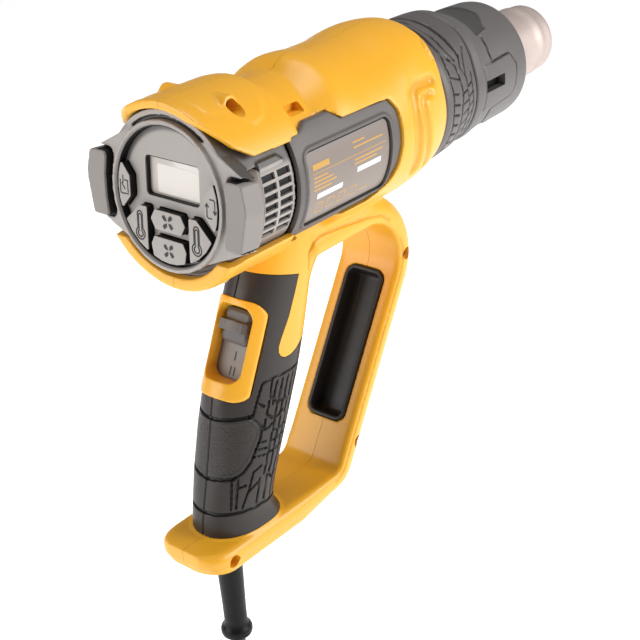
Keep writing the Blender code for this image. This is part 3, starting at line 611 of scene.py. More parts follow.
AMBER = (0.88, 0.43, 0.022)
MATERIALS = {
    "amber_plastic": surface("amber_plastic", AMBER, 0.36, spread=0.03, relief=0.05, painted_shade=0.4, coat=0.10),
    "grey_plastic": surface("grey_plastic", (0.37, 0.338, 0.315), 0.40, spread=0.06, relief=0.12, painted_shade=0.9),
    "pad_plastic": surface("pad_plastic", (0.255, 0.228, 0.212), 0.46, spread=0.08, relief=0.2, painted_shade=0.9),
    "dark_plastic": surface("dark_plastic", (0.115, 0.102, 0.095), 0.44, spread=0.08, relief=0.14,
                            painted_shade=0.9),
    "black_plastic": surface("black_plastic", (0.009, 0.008, 0.008), 0.5, relief=0.1, specular=0.25),
    "gloss_black": surface("gloss_black", (0.006, 0.006, 0.006), 0.42, relief=0.08, specular=0.18),
    "soft_grip": surface("soft_grip", (0.030, 0.024, 0.021), 0.40, spread=0.10, relief=0.2, painted_shade=1.0,
                         leather=True,
                         specular=0.38),
    "soft_rubber": surface("soft_rubber", (0.105, 0.094, 0.090), 0.42, spread=0.08, relief=0.15, painted_shade=1.0),
    "shield_plastic": surface("shield_plastic", (0.120, 0.110, 0.107), 0.42, spread=0.08, relief=0.15,
                              painted_shade=1.0),
    "tray_rubber": surface("tray_rubber", (0.024, 0.020, 0.018), 0.42, spread=0.05, relief=0.1,
                           specular=0.35),
    "label_foil": surface("label_foil", (0.245, 0.203, 0.175), 0.36, spread=0.05, relief=0.04),
    "label_gold": surface("label_gold", (0.60, 0.32, 0.06), 0.45),
    "label_white": surface("label_white", (0.86, 0.85, 0.83), 0.5, spread=0.03),
    "display_lens": surface("display_lens", (0.60, 0.55, 0.50), 0.12, spread=0.04, relief=0.01, coat=0.6),
    "display_pane": surface("display_pane", (0.78, 0.73, 0.67), 0.15, spread=0.03, relief=0.01, coat=0.6),
    "icon_ink": surface("icon_ink", (0.010, 0.009, 0.009), 0.5),
    "steel": surface("steel", (0.62, 0.60, 0.58), 0.32, metallic=1.0, brushed=True, relief=0.1),
    "nozzle_steel": surface("nozzle_steel", (0.70, 0.655, 0.61), 0.56, metallic=0.6, brushed=True,
                            relief=0.5, spread=0.22,
                            tint=((0.150, 0.205, (0.74, 0.60, 0.53)), (0.196, 0.208, (0.50, 0.42, 0.39)))),
    "ceramic": surface("ceramic", (0.72, 0.66, 0.58), 0.8, relief=0.3),
    "mica": surface("mica", (0.50, 0.44, 0.34), 0.45, spread=0.15),
    "circuit_board": surface("circuit_board", (0.03, 0.16, 0.07), 0.4),
    "wire": surface("wire", (0.42, 0.36, 0.33), 0.4, metallic=1.0),
    "cord_sheath": surface("cord_sheath", (0.016, 0.015, 0.015), 0.36, relief=0.15),
}


def settle(part, slot, nodes=(), body="gun", paint=None, angle=38.0):
    """Finish a piece: shading, material, world place, body and the CAD nodes that it stands for."""
    part.data.materials.clear()
    part.data.materials.append(MATERIALS[paint or slot])
    for face in part.data.polygons:
        face.material_index = 0
    part.data.shade_smooth()
    part.data.set_sharp_from_angle(angle=math.radians(angle))
    part.data.transform(TO_WORLD)
    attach(part, body)
    if nodes:
        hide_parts(*nodes)
    return part


# ---------------------------------------------------------------- cord and plug

CORD_D = 0.0072
RELIEF_X, RELIEF_TOP, RELIEF_END = 0.0110, -0.1577, -0.2280
REST_Z = -0.3300
COIL_R = 0.0375
COIL_CENTRE = Vector((0.0300, -0.0150))
COIL_LOW = REST_Z + 0.0012 + 0.0003
COIL_HIGH = COIL_LOW + 3 * CORD_D
LANDING = COIL_HIGH + CORD_D / 2 + 0.0003
PLUG_REAR, PLUG_NECK, PLUG_BODY = -0.0120, 0.0240, 0.0380
PLUG_Z = REST_Z + 0.0082
TAIL_Y = COIL_CENTRE.y - COIL_R - CORD_D
CORD_ROUTE = [(RELIEF_X, 0.0, RELIEF_END - 0.0003), (RELIEF_X, 0.0, -0.2450), (0.0112, 0.0002, -0.2620),
              (0.0125, 0.0018, -0.2780), (0.0175, 0.0075, -0.2920), (0.0275, 0.0155, -0.3005),
              (0.0400, 0.0205, LANDING)]


def coil_points():
    """Turns of the coil, clockwise from where the cord lands on it to its foot.

    Each stage says how far the cord has gone round, in degrees, and its radius and height there.
    """
    inner, outer = COIL_R - CORD_D, COIL_R + CORD_D
    top, middle, bottom = (COIL_HIGH - CORD_D * (i + 0.5) for i in range(3))
    stages = [(54, COIL_R, LANDING), (-20, COIL_R, top), (-300, COIL_R, top), (-336, outer, top),
              (-372, outer, middle), (-650, outer, middle), (-690, COIL_R, middle), (-1010, COIL_R, middle),
              (-1050, inner, middle), (-1330, inner, middle), (-1370, inner, bottom), (-1650, inner, bottom),
              (-1690, COIL_R, bottom), (-2010, COIL_R, bottom), (-2050, outer, bottom),
              (-2250, outer, bottom)]
    points = []
    for (a, r0, z0), (b, r1, z1) in zip(stages, stages[1:]):
        count = max(1, round((a - b) / 10))
        for i in range(count):
            share = i / count
            ease = share * share * (3 - 2 * share)
            angle = math.radians(a + (b - a) * share)
            radius = r0 + (r1 - r0) * ease
            points.append((COIL_CENTRE.x + radius * math.cos(angle), COIL_CENTRE.y + radius * math.sin(angle),
                           z0 + (z1 - z0) * ease))
    return points


def smooth_route(points, spacing):
    """Evenly spaced points on the smooth curve through a route's points."""
    points = [Vector(p) for p in points]
    ends = [points[0] * 2 - points[1], *points, points[-1] * 2 - points[-2]]
    fine = []
    for a, b, c, d in zip(ends, ends[1:], ends[2:], ends[3:]):
        for i in range(24):
            t = i / 24
            fine.append(0.5 * (2 * b + (c - a) * t + (2 * a - 5 * b + 4 * c - d) * t * t
                               + (3 * b - a - 3 * c + d) * t ** 3))
    fine.append(points[-1])
    total = sum((b - a).length for a, b in zip(fine, fine[1:]))
    count = round(total / spacing)
    route, walked, target = [fine[0]], 0.0, 1
    for a, b in zip(fine, fine[1:]):
        walked += (b - a).length
        while target < count and walked >= total * target / count:
            route.append(b)
            target += 1
    return route + [fine[-1]], total


def cord():
    """The whole cord as one curve, from the strain relief over the coil to the plug."""
    tail = [(COIL_CENTRE.x, TAIL_Y, COIL_LOW + CORD_D / 2),
            (COIL_CENTRE.x - 0.0145, TAIL_Y, COIL_LOW + CORD_D / 2),
            (COIL_CENTRE.x - 0.0290, TAIL_Y, COIL_LOW + CORD_D / 2), (PLUG_REAR + 0.0060, TAIL_Y, PLUG_Z),
            (PLUG_REAR + 0.0003, TAIL_Y, PLUG_Z)]
    route, length = smooth_route(CORD_ROUTE + coil_points() + tail, 0.0025)
    curve = bpy.data.curves.new("cord", "CURVE")
    curve.dimensions = "3D"
    curve.bevel_depth = CORD_D / 2
    curve.bevel_resolution = 5
    curve.use_fill_caps = True
    spline = curve.splines.new("POLY")
    spline.points.add(len(route) - 1)
    for point, spot in zip(spline.points, route):
        point.co = (*(spot + ORIGIN), 1.0)
    spline.use_smooth = True
    made = bpy.data.objects.new("cord_line", curve)
    bpy.context.scene.collection.objects.link(made)
    curve.materials.append(MATERIALS["cord_sheath"])
    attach(made, "gun")
    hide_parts("cord", "cord_coil", "cord_tail")
    return made, Vector(route[0]) + ORIGIN, length


def strain_relief():
    """Smooth tapered relief that ends in a thicker ring."""
    top, end = RELIEF_TOP * 1000, RELIEF_END * 1000
    profile = [(top + 2.0, 0.0), (top + 2.0, 7.0), (top, 7.0), (top - 2.0, 6.5), (top - 20.0, 6.45),
               (top - 36.0, 6.0), (top - 52.0, 5.6), (end + 9.0, 5.5), (end + 6.6, 5.7), (end + 5.6, 6.4),
               (end + 4.8, 7.2), (end + 3.6, 7.6), (end + 2.0, 7.6), (end + 0.8, 7.2), (end, 6.2), (end, 0.0)]
    relief = turned("relief", profile, 64, "Z", (RELIEF_X * 1000, 0.0, 0.0))
    return settle(relief, "black_plastic", ["strain_relief"], paint="gloss_black", angle=40.0)


def plug_pieces():
    """Plug body with its ribs, and its two round pins with their sleeves."""
    rear, neck, body = PLUG_REAR * 1000, PLUG_NECK * 1000, PLUG_BODY * 1000
    y, z = TAIL_Y * 1000, PLUG_Z * 1000
    sections = ((0.0, 5.0, 5.0), (-neck * 0.25, 5.4, 5.4), (-neck * 0.5, 6.0, 6.0), (-neck * 0.8, 7.2, 6.6),
                (-neck, 8.5, 7.2), (-neck - 3, 11.2, 7.8), (-neck - 6, 14.0, 8.0), (-neck - 10, 16.0, 8.1),
                (-neck - 16, 17.2, 8.1), (-neck - body + 3, 17.8, 8.1), (-neck - body, 17.8, 8.1))
    rings = []
    for x, half_width, half_height in sections:
        outline = rounded(rectangle(-half_width, half_width, -half_height, half_height), half_height * 0.6, 6)
        rings.append([(rear + x, y + across, z + up) for across, up in outline])
    plug = soften(loft("plug", rings), 0.5, 3)
    flat = points_of(plug)[:, :2]
    rib_lines = [[(rear - 4 - 3 * i, y - 9), (rear - 4 - 3 * i, y + 9)] for i in range(6)]
    rib_lines += [[(rear - neck - 14 - 3 * i, y + s * 13), (rear - neck - 14 - 3 * i, y + s * 19)]
                  for i in range(5) for s in (-1, 1)]
    engrave(plug, flat, rib_lines, 0.8, 0.6)
    face = rear - neck - body
    made = []
    for index, across in enumerate((-9.5, 9.5), 1):
        cut(plug, rod("pin_hole", (face + 6.3, y + across, z), (face - 3, y + across, z), 2.7, 24))
        tip, root = face - 19.0, face + 6.0
        profile = [(tip, 0.0), (tip + 0.15, 1.0), (tip + 0.7, 1.8), (tip + 1.8, 2.4), (root, 2.4),
                   (root, 0.0)]
        pin = turned(f"pin_{index}", profile, 32, centre=(0.0, y + across, z))
        made.append(settle(pin, "steel", [f"plug_pin_{index}"]))
        sleeve = tube(f"pin_sleeve_{index}", face - 9.0, face - 0.1, 2.41, 2.5, 32)
        made.append(settle(moved(sleeve, Matrix.Translation((0.0, y + across, z))), "black_plastic"))
    made.append(settle(plug, "black_plastic", ["plug_body"], paint="cord_sheath"))
    return made


def cord_tie():
    """Hook-and-loop band round the coil's far side."""
    around = Matrix.Translation((COIL_CENTRE.x * 1000, COIL_CENTRE.y * 1000, 0.0)) @ UPRIGHT
    middle = (COIL_LOW + COIL_HIGH) * 500
    reach = 1.5 * CORD_D * 1000 + GAP
    r = COIL_R * 1000
    room = rectangle(-r - reach, -r + reach + 0.6, middle - reach, middle + reach)
    band = prism("tie", rounded(grown(room, 1.2), 4.2, 8), -5.0, 5.0, around)
    cut(band, prism("tie_room", rounded(room, 3.0, 8), -6.0, 6.0, around))
    soften(band, 0.3, 2)
    return settle(band, "soft_rubber", ["cord_tie"])


# ---------------------------------------------------------------- handle sections

def handle_at(heights):
    """Rear, front and half width of the handle's smoothed sections."""
    order = HANDLE[:, 0].argsort()
    known = HANDLE[order]
    offsets = np.linspace(-3.0, 3.0, 7)
    heights = np.asarray(heights, float)[:, None] + offsets
    inner = np.clip(heights, known[0, 0], known[-1, 0])
    return [np.interp(inner, known[:, 0], known[:, k]).mean(axis=1) for k in (1, 2, 3)]


def section(rear, front, half_width, inset, sides):
    """Points round one section, starting at its front."""
    turn = 2 * np.pi * np.arange(sides) / sides
    ahead, across = np.cos(turn), np.sin(turn)
    depth, width = front - rear - 2 * inset, half_width - inset
    widest = rear + inset + HANDLE_REAR_SHARE * depth
    reach = depth * np.where(ahead > 0, 1 - HANDLE_REAR_SHARE, HANDLE_REAR_SHARE)
    power = 2 / HANDLE_SQUARENESS
    forward = widest + np.sign(ahead) * np.abs(ahead) ** power * reach
    return forward, np.sign(across) * np.abs(across) ** power * width


def handle(name, inset, low=HANDLE_FOOT, high=HANDLE_TOP):
    """The handle's outside, moved inwards by the inset."""
    pitch, sides = 2.0, 96
    count = max(2, round((high - low) / pitch) + 1)
    heights = np.linspace(low, high, count)
    rings = []
    for height, rear, front, half_width in zip(heights, *handle_at(heights)):
        x, y = section(rear, front, half_width, inset, sides)
        rings.append([(a, b, height) for a, b in zip(x, y)])
    return loft(name, rings)


# Casing above the soft grip in side view, as x and z
CROWN = ((0.0, -41.0), (12.0, -41.2), (28.3, -43.6), (56.6, -51.4), (53.5, -58.8), (48.4, -68.8),
         (42.2, -77.8), (40.4, -80.8), (39.9, -83.4), (40.8, -85.6), (43.0, -86.9), (46.5, -87.2),
         (50.5, -86.3), (62.0, -82.0), (100.0, -70.0), (100.0, -20.0), (0.0, -20.0))


def crown(name, by):
    return prism(name, grown(CROWN, by), -30.0, 30.0, UPRIGHT)


def loop_stations(arc_steps=16):
    """Places along the guard loop: point, outward direction and half width."""
    down = Vector((-math.cos(RAKE), -math.sin(RAKE)))
    out = Vector((math.sin(RAKE), -math.cos(RAKE)))
    stations = [(Vector((66.0, LOOP_TOP)), Vector((0.0, 1.0)), LOOP_HALF_WIDTH)]
    top_radius, foot_radius = 20.5, 7.0
    front_centre = LOOP_FRONT - out * top_radius
    for i in range(arc_steps + 1):
        way = Vector((0.0, 1.0)).lerp(out, i / arc_steps).normalized()
        stations.append((front_centre + way * top_radius, way, LOOP_HALF_WIDTH - 0.5))
    foot_height = LOOP_BASE + foot_radius
    run = (LOOP_FRONT - out * foot_radius).y - foot_height
    foot_centre = LOOP_FRONT - out * foot_radius + down * run / -down.y
    for i in range(arc_steps + 1):
        way = out.lerp(Vector((0.0, -1.0)), i / arc_steps).normalized()
        stations.append((foot_centre + way * foot_radius, way, LOOP_HALF_WIDTH - 0.2))
    foot_ends = ((45, 0.0), (-2, 0.0), (-6, 0.3), (-9, 0.9), (-11.5, 2.0), (-13.5, 3.6), (-15.2, 6.0),
                 (-16.5, 9.4))
    for x, narrowing in foot_ends:
        stations.append((Vector((x, LOOP_BASE)), Vector((0.0, -1.0)), LOOP_HALF_WIDTH + 0.5 - narrowing))
    return stations


def guard_loop():
    """Loop in front of the handle, with the foot that carries on under the handle."""
    rings = []
    for point, way, half_width in loop_stations():
        foot = way.y < -0.99 and point.x < 50.0
        edge, outer = (4.2, 4.5) if foot else (2.2, min(9.5, half_width * 0.6))
        thick = LOOP_THICK - (max(0.0, -4.0 - point.x) * 0.30 if foot else 0.0)
        corners = [Vector(c) for c in rectangle(-half_width, half_width, 0.0, thick)]
        shape = fillet(corners[3], corners[0], corners[1], edge, 4)
        shape += fillet(corners[0], corners[1], corners[2], edge, 4)
        shape += fillet(corners[1], corners[2], corners[3], outer, 10)
        shape += fillet(corners[2], corners[3], corners[0], outer, 10)
        rings.append([(point.x + way.x * out, across, point.y + way.y * out) for across, out in shape])
    return loft("guard_loop", rings)


# ---------------------------------------------------------------- housing

TRAY_LENGTH, TRAY_HALF_WIDTH, TRAY_DEPTH = 76.0, 11.5, 9.0
SWITCH_FLOOR = -9.5
PANEL_BACK, PANEL_FACE = 35.6, 38.0
# Screws through the casing from the right: x, z, how deep the head lies, and the tip
CASE_SCREWS = ((22.5, 35.0, -11.5, 8.0), (16.0, -38.0, -11.0, 8.0), (132.0, -70.0, -13.0, 10.0),
               (87.4, -153.0, -13.0, 10.0), (-3.0, -169.6, -9.0, 9.0))
SCREW_HEAD_R, SCREW_SHANK_R = 2.8, 1.4


def tray_outline(by):
    return rounded_box(-TRAY_HALF_WIDTH - by, TRAY_HALF_WIDTH + by, -TRAY_LENGTH - by, by, 5.5 + by, 8)


def switch_outline(by):
    return rounded_box(-13.8 - by, 13.8 + by, 1.0 - by, 46.2 + by, 5.5 + by, 8)


def panel_outline(by):
    """Side view of a flank panel, grown by the given distance."""
    rear = MODULE_LENGTH + 1.0 - by
    return [(rear, -26.2 - by), (90.0 + by, -26.2 - by), (100.6 + by, -20.2 - by), (104.1 + by, -13.0),
            (105.6 + by, -3.0), (105.6 + by, 6.0), (105.2 + by, 12.7), (101.8 + by, 17.8 + by),
            (71.2, 18.5 + by), (66.0, 22.2 + by), (52.0, 22.2 + by), (46.5, 19.5 + by), (rear, 19.5 + by)]


def side_block(name, outline, side):
    """Body on one flank that has the given side view."""
    start, end = (-50.0, -15.0) if side > 0 else (15.0, 50.0)
    return prism(name, outline, start, end, UPRIGHT)


def wrapped(name, outline, side, low, high):
    """Piece of the barrel's round surface that has the given side view."""
    return clip(tube(name, 36.0, 110.0, low, high, 320), side_block("outline", outline, side))


def rear_opening():
    """Room that the module and the panel take from the casing's rear."""
    end = MODULE_LENGTH + 2.0
    outline = [(-30.0, 60.0), (1.0, 60.0), (1.0, 34.5), (9.5, 23.6), (16.5, 19.0), (end, 18.8), (end, -22.2),
               (-30.0, -22.2)]
    return prism("rear_opening", outline, -60.0, 60.0, UPRIGHT)


def grip_space():
    """Everything that the soft grip takes from the handle's outside."""
    low = -163.0
    outline = [(-12.0, low), (43.5, low), (50.0, -140.0), (62.0, -115.0), (74.0, -95.0), (85.0, -76.0)]
    outline += reversed(CROWN[1:14])
    space = prism("grip_space", outline + [(-12.0, -41.0)], -30.0, 30.0, UPRIGHT)
    return cut(space, handle("core", GRIP_THICK, low=-166.0))


# The two S-shaped grooves on each flank: places along the barrel and degrees above the horizontal
S_GROOVES = (((134.5, 27), (123.0, 28), (118.6, 24), (117.4, 8), (118.2, -12), (120.6, -33)),
             ((131.5, 19.5), (125.6, 19.5), (123.9, 15), (124.2, 4), (125.4, -6), (128.0, -22), (131.5, -36)))


def swell(co, places, rises):
    """Points near the top pushed outwards, by the rise given for each place along the gun."""
    angle = np.degrees(np.arctan2(co[:, 2], np.abs(co[:, 1])))
    radius = radius_of(co)
    rise = np.interp(co[:, 0], places, rises) * step((angle - 15.0) / 45.0) * (radius > 29.5)
    co[:, 1:] *= (1.0 + rise / np.maximum(radius, 1.0))[:, None]
    return co


def barrel_shape(co):
    """Crisp shoulder at the neck, furthest back above the side panels, and the barrel's swelling top line."""
    angle = np.degrees(np.arctan2(co[:, 2], np.abs(co[:, 1])))
    radius = radius_of(co)
    foot = np.interp(angle, (25.0, 37.0, 55.0, 70.0, 90.0), (58.0, 59.1, 61.7, 65.2, 67.2))
    brow = np.interp(angle, (25.0, 40.0, 60.0, 75.0, 90.0), (70.5, 71.8, 73.4, 74.0, 72.4))
    share = np.clip((co[:, 0] - foot) / (brow - foot), 0.0, 1.0)
    wanted = NECK_R + (BARREL_R - 0.2 - NECK_R) * share + 0.2 * step((co[:, 0] - brow) / 3.0)
    here = (co[:, 0] > 45.0) & (co[:, 0] < 90.0) & (radius > 30.0) & (angle > -25.0)
    scale = np.where(here, wanted / np.maximum(radius, 1.0), 1.0)
    co[:, 1] *= scale
    co[:, 2] *= scale
    return swell(co, (73.0, 77.0, 83.0, 90.0, 104.0, 110.0, 118.0, 125.0, 130.0, 137.0, 142.5, FRONT_X),
                 (0.0, 0.5, 0.2, -0.7, -0.65, -0.4, 0.8, 2.0, 2.5, 3.4, 4.0, 4.4))


def housing():
    """Both casing halves with the guard loop, made as one body and parted at the middle."""
    body = turned("housing", [(-2.0, 0.0), (-2.0, 39.6), (-1.2, HOOD_R), (4.0, HOOD_R + 0.4), (9.0, HOOD_R),
                              (43.0, HOOD_R), (44.8, HOOD_R - 1.6), (44.8, NECK_R), (69.0, NECK_R),
                              (73.5, BARREL_R - 0.3), (76.0, BARREL_R), (104.0, BARREL_R), (118.0, BARREL_R),
                              (130.0, BARREL_R - 1.0), (137.0, BARREL_R - 2.4), (142.5, 35.6),
                              (FRONT_X, 34.2), (FRONT_X, 0.0)], 240, pitch=1.2)
    put_points(body, barrel_shape(points_of(body)))
    join(body, guard_loop(), handle("crown_handle", 0.0))
    soften(body, 0.9, 16,
           lambda co: 0.12 + 0.88 * step((-30.0 - co[:, 2]) / 8.0) * step((co[:, 2] + 158.0) / 6.0))
    flat = unrolled(points_of(body), HOOD_R)
    pad = [(8.0, 90), (9.0, 64), (11.5, 61), (15.5, 61), (19.0, 55), (25.5, 45.5), (31.0, 47.5), (37.0, 57),
           (39.0, 66), (40.0, 90)]
    pad = on_barrel(pad, HOOD_R)
    pad += [(x, 2 * math.radians(90) * HOOD_R - s) for x, s in reversed(pad)]
    above = (points_of(body)[:, 2] > 15.0) & (flat[:, 0] < 50.0)
    emboss(body, flat, pad, 0.45, 1.0, above)
    bore = turned("bore", [(-20.0, 0.0), (-20.0, BORE_R), (42.0, BORE_R), (43.4, NECK_R - 1.8),
                           (68.0, NECK_R - 1.8), (80.0, BORE_R), (106.0, BORE_R), (110.0, 34.0),
                           (135.0, 33.6), (140.0, 32.5), (150.0, 31.5), (150.0, 0.0)], 160)
    cut(body, bore, rear_opening())
    join(body, clip(tube("lip", -2.0, 3.2, 34.3, 38.0), box("belly", (-10, -40, -45), (10, 40, -22.3))))
    boss_x, boss_z = CASE_SCREWS[0][:2]
    backing = rod("backing", (46.0, 0, 0), (61.0, 0, 0), NECK_R - 0.8, 120)
    join(body, clip(backing, box("pocket_room", (46.4, -30.0, 20.5), (60.5, -16.5, 31.5))))
    join(body, rod("boss", (boss_x, -18.5, boss_z), (boss_x, 18.5, boss_z), 4.5, 40))
    cut(body, *[wrapped("window", panel_outline(GAP), side, PANEL_BACK - GAP, 50.0) for side in (-1, 1)])
    cut(body, prism("tray_pocket", tray_outline(GAP), -TRAY_DEPTH - 2.1, 10.0, TRAY))
    soften(body, 0.7, 3)
    co = points_of(body)
    flat = unrolled(co, BARREL_R)
    outside = radius_of(co) > BORE_R + 0.6
    front = outside & (co[:, 0] > 110.0) & (co[:, 0] < 142.0) & (co[:, 2] < 28.0) & (co[:, 2] > -30.0)
    for line, width, depth in zip(S_GROOVES, (3.1, 2.1), (2.1, 1.7)):
        engrave(body, flat, [on_barrel(line, BARREL_R)], width, depth, front, shade=0.4, soft=width / 4)
    polish(body, front & (distance_to(flat, [on_barrel(line, BARREL_R) for line in S_GROOVES]) < 6.0), 12)
    front = outside & (co[:, 0] > 136.0) & (co[:, 2] > 20.0)
    engrave(body, flat, [on_barrel(((144.0, 57), (140.6, 50), (142.5, 40)), BARREL_R)], 1.0, 0.7, front,
            shade=0.5)
    side_view = np.stack((co[:, 0], co[:, 2]), axis=1)
    flank = np.abs(co[:, 1]) > 14.0
    contour = [tuple(point + way * 2.6) for point, way, _ in loop_stations(8)[:19]]
    engrave(body, side_view, [contour], 0.7, 0.5, flank & (co[:, 2] < -60.0), shade=0.7)
    rib = [(63.3, -52.0), (63.4, -44.5), (66.0, -40.0), (70.5, -38.4), (82.0, -39.2), (104.0, -41.6),
           (114.0, -44.0), (119.5, -48.5)]
    engrave(body, side_view, [rib], 0.8, 0.6, flank, shade=0.6)
    foot = step((-170.0 - co[:, 2]) / 0.9) * (co[:, 0] < 86.0)
    co = points_of(body)
    normals = normals_of(body)
    normals[:, 2] = 0.0
    put_points(body, co - normals * foot[:, None] * 0.8)
    # Painted shade in the crease where the base narrows below its lip, on the side faces
    waist = np.stack((co[:, 2], np.zeros(len(co))), axis=1)
    lip_crease_shade = 1.5 * (1 - distance_to(waist, [[(-170.4, 0.0), (-170.4, 0.01)]]) / 0.8)
    flat_side = np.abs(normals_of(body)[:, 2]) < 0.6
    mark(body, "painted_shade", 0.7 * step(lip_crease_shade) * (co[:, 0] < 86.0) * flat_side)
    cut(body, prism("neck_pocket", rounded_box(48.6, 57.9, 23.9, 27.7, 0.9, 4), 19.5, 50.0, UPRIGHT))
    cut(body, prism("switch_pocket", switch_outline(GAP), SWITCH_FLOOR - 3.0, 10.0, SWITCH), grip_space())
    cut(body, rod("relief_hole", (11.0, 0, -200.0), (11.0, 0, -150.0), 6.9, 40))
    cut(body, handle("cavity", GRIP_THICK + 2.6, low=-158.0, high=-46.0))
    cut(body, merged("heads", [rod("head", (x, -60.0, z), (x, head, z), SCREW_HEAD_R + 0.4, 32)
                               for x, z, head, _ in CASE_SCREWS]))
    cut(body, merged("shanks", [rod("shank", (x, head - 1.0, z), (x, tip + 1.0, z), SCREW_SHANK_R + GAP, 16)
                                for x, z, head, tip in CASE_SCREWS]))
    left = twin(body, "casing_left")
    body.name = "casing_right"
    settle(clip(left, half(1)), "amber_plastic", ["housing_left"])
    settle(clip(body, half(-1)), "amber_plastic", ["housing_right"])


# ---------------------------------------------------------------- soft grip

# Grooves of the soft grip in side view, as x and z: its rings, and the edges of the patch and the tread
RING_LINES = (((-4.0, -107.6), (11.0, -107.2), (20.8, -107.0)),
              ((-4.0, -135.4), (4.0, -134.8), (8.0, -134.2)),
              ((-6.0, -151.3), (6.0, -151.0), (24.0, -151.9), (60.0, -152.6)))
PATCH_EDGE = ((19.4, -107.4), (23.9, -112.8), (22.2, -118.0), (15.8, -128.0), (11.8, -131.9), (7.8, -134.2))
TREAD_EDGE = ((62.0, -95.5), (43.2, -94.2), (31.4, -93.5), (28.4, -94.3), (24.9, -100.0), (21.3, -106.4))
# Long cuts of the tread, row by row: the first cut's ends, how many follow it forward, and their spacing
TREAD_ROWS = (((36.6, -96.0), (31.6, -105.6), 7, 3.7), ((30.4, -103.0), (27.6, -108.5), 1, 0.0),
              ((34.5, -106.3), (31.2, -111.7), 7, 3.5), ((26.4, -110.6), (24.6, -114.6), 1, 0.0),
              ((31.2, -112.9), (29.3, -117.0), 7, 3.9), ((28.7, -118.2), (27.5, -121.0), 8, 3.7),
              ((26.8, -122.6), (25.6, -126.2), 8, 3.6), ((24.9, -127.6), (23.8, -130.8), 8, 3.6),
              ((23.5, -131.9), (21.3, -136.4), 8, 3.4), ((19.0, -137.4), (16.3, -149.6), 8, 4.4))
# Short cuts between the tread's rows
TREAD_LINES = (((33.8, -94.8), (31.3, -101.2), (34.6, -105.8)), ((25.0, -102.6), (27.0, -104.6)),
               ((27.6, -108.5), (29.9, -111.3), (31.2, -111.7), (34.4, -111.6), (37.0, -110.4)),
               ((34.6, -105.8), (36.4, -105.2), (38.3, -106.2), (40.3, -105.6)),
               ((24.4, -114.9), (27.2, -115.2), (29.2, -113.9)),
               ((20.6, -131.6), (16.2, -133.1), (13.4, -139.9), (9.0, -149.2)),
               ((17.7, -138.9), (12.2, -142.3)), ((8.4, -139.0), (11.8, -138.4)),
               ((7.2, -135.0), (4.6, -148.8)), ((9.3, -135.2), (6.4, -148.8)),
               ((19.9, -119.9), (24.4, -120.9)), ((18.7, -122.9), (24.5, -124.3)),
               ((17.4, -126.1), (23.7, -127.2)),
               ((29.6, -117.2), (33.2, -118.2), (36.6, -117.2), (40.6, -118.4)),
               ((27.4, -121.8), (31.2, -122.4), (35.0, -121.6), (38.8, -122.8)),
               ((25.6, -126.9), (29.4, -127.2), (33.2, -126.4), (37.0, -127.6)),
               ((24.8, -138.4), (26.8, -141.0), (28.6, -138.2)))


def grips():
    """Both soft half shells, with their rings, grained patch and tyre-like tread."""
    pitch = 0.4
    low, high = HANDLE_FOOT, -42.0
    heights = np.linspace(low, high, round((high - low) / pitch) + 1)
    sides = 2 * round(64 / pitch)
    rears, fronts, widths = handle_at(heights)
    rings, flat = [], []
    for height, rear, front, half_width in zip(heights, rears, fronts, widths):
        x, y = section(rear, front, half_width, 0.0, sides)
        rings.append([(a, b, height) for a, b in zip(x, y)])
        run = np.hypot(np.diff(x, append=x[0]), np.diff(y, append=y[0]))
        around = np.concatenate(([0.0], np.cumsum(run)))[:-1]
        around = around[sides // 2] - np.minimum(around, run.sum() - around)
        flat += [(s, height) for s in around]
    grip = loft("grip", rings)
    flat = np.array(flat)

    def girth(line):
        """Side view points as (arc length from the rear seam, height)."""
        done = []
        for x, z in line:
            rear, front, half_width = (v[0] for v in handle_at([z]))
            xs, ys = section(rear, front, half_width, 0.0, 400)
            xs, ys = xs[200::-1], ys[200::-1]
            arc = np.concatenate(([0.0], np.cumsum(np.hypot(np.diff(xs), np.diff(ys)))))
            done.append((float(np.interp(x, xs, arc)), z))
        return done

    tread_zone = list(TREAD_EDGE) + [(23.9, -112.8), (22.2, -118.0), (15.8, -128.0), (11.8, -131.9),
                                     (2.0, -134.4), (1.0, -151.0), (24.0, -151.4), (60.0, -152.0),
                                     (80.0, -120.0), (80.0, -95.5)]
    zone = inside(flat, girth(tread_zone)).astype(float)
    cuts = list(TREAD_LINES)
    for (x0, z0), (x1, z1), count, spacing in TREAD_ROWS:
        cuts += [((x0 + k * spacing, z0 - 0.15 * k), (x1 + k * spacing, z1 - 0.15 * k)) for k in range(count)]
    engrave(grip, flat, [girth(line) for line in RING_LINES], 1.0, 1.1)
    engrave(grip, flat, [girth(PATCH_EDGE), girth(TREAD_EDGE)], 0.8, 0.8)
    engrave(grip, flat, [girth(line) for line in cuts], 0.62, 0.9, zone, shade=0.8)
    engrave(grip, flat, [[(0.0, -170.0), (0.0, -30.0)]], 0.5, 0.5)
    patch = [(0.0, -108.8), (18.6, -108.6), (22.6, -113.0), (21.0, -117.6), (14.8, -127.2), (11.0, -130.8),
             (7.4, -133.0), (0.0, -133.6)]
    mark(grip, "leather", inside(flat, girth(patch)) * step((distance_to(flat, [girth(patch)]) - 0.4) / 1.2))
    cut(grip, handle("room", GRIP_THICK - GAP, low=-170.0, high=-36.0))
    cut(grip, crown("crown_room", 0.25), prism("bezel_room", switch_outline(0.25), -14.0, 10.0, SWITCH))
    left = twin(grip, "grip_skin_left")
    grip.name = "grip_skin_right"
    settle(clip(left, half(1)), "soft_grip", ["grip_left"])
    settle(clip(grip, half(-1)), "soft_grip", ["grip_right"])


# ---------------------------------------------------------------- slide switch

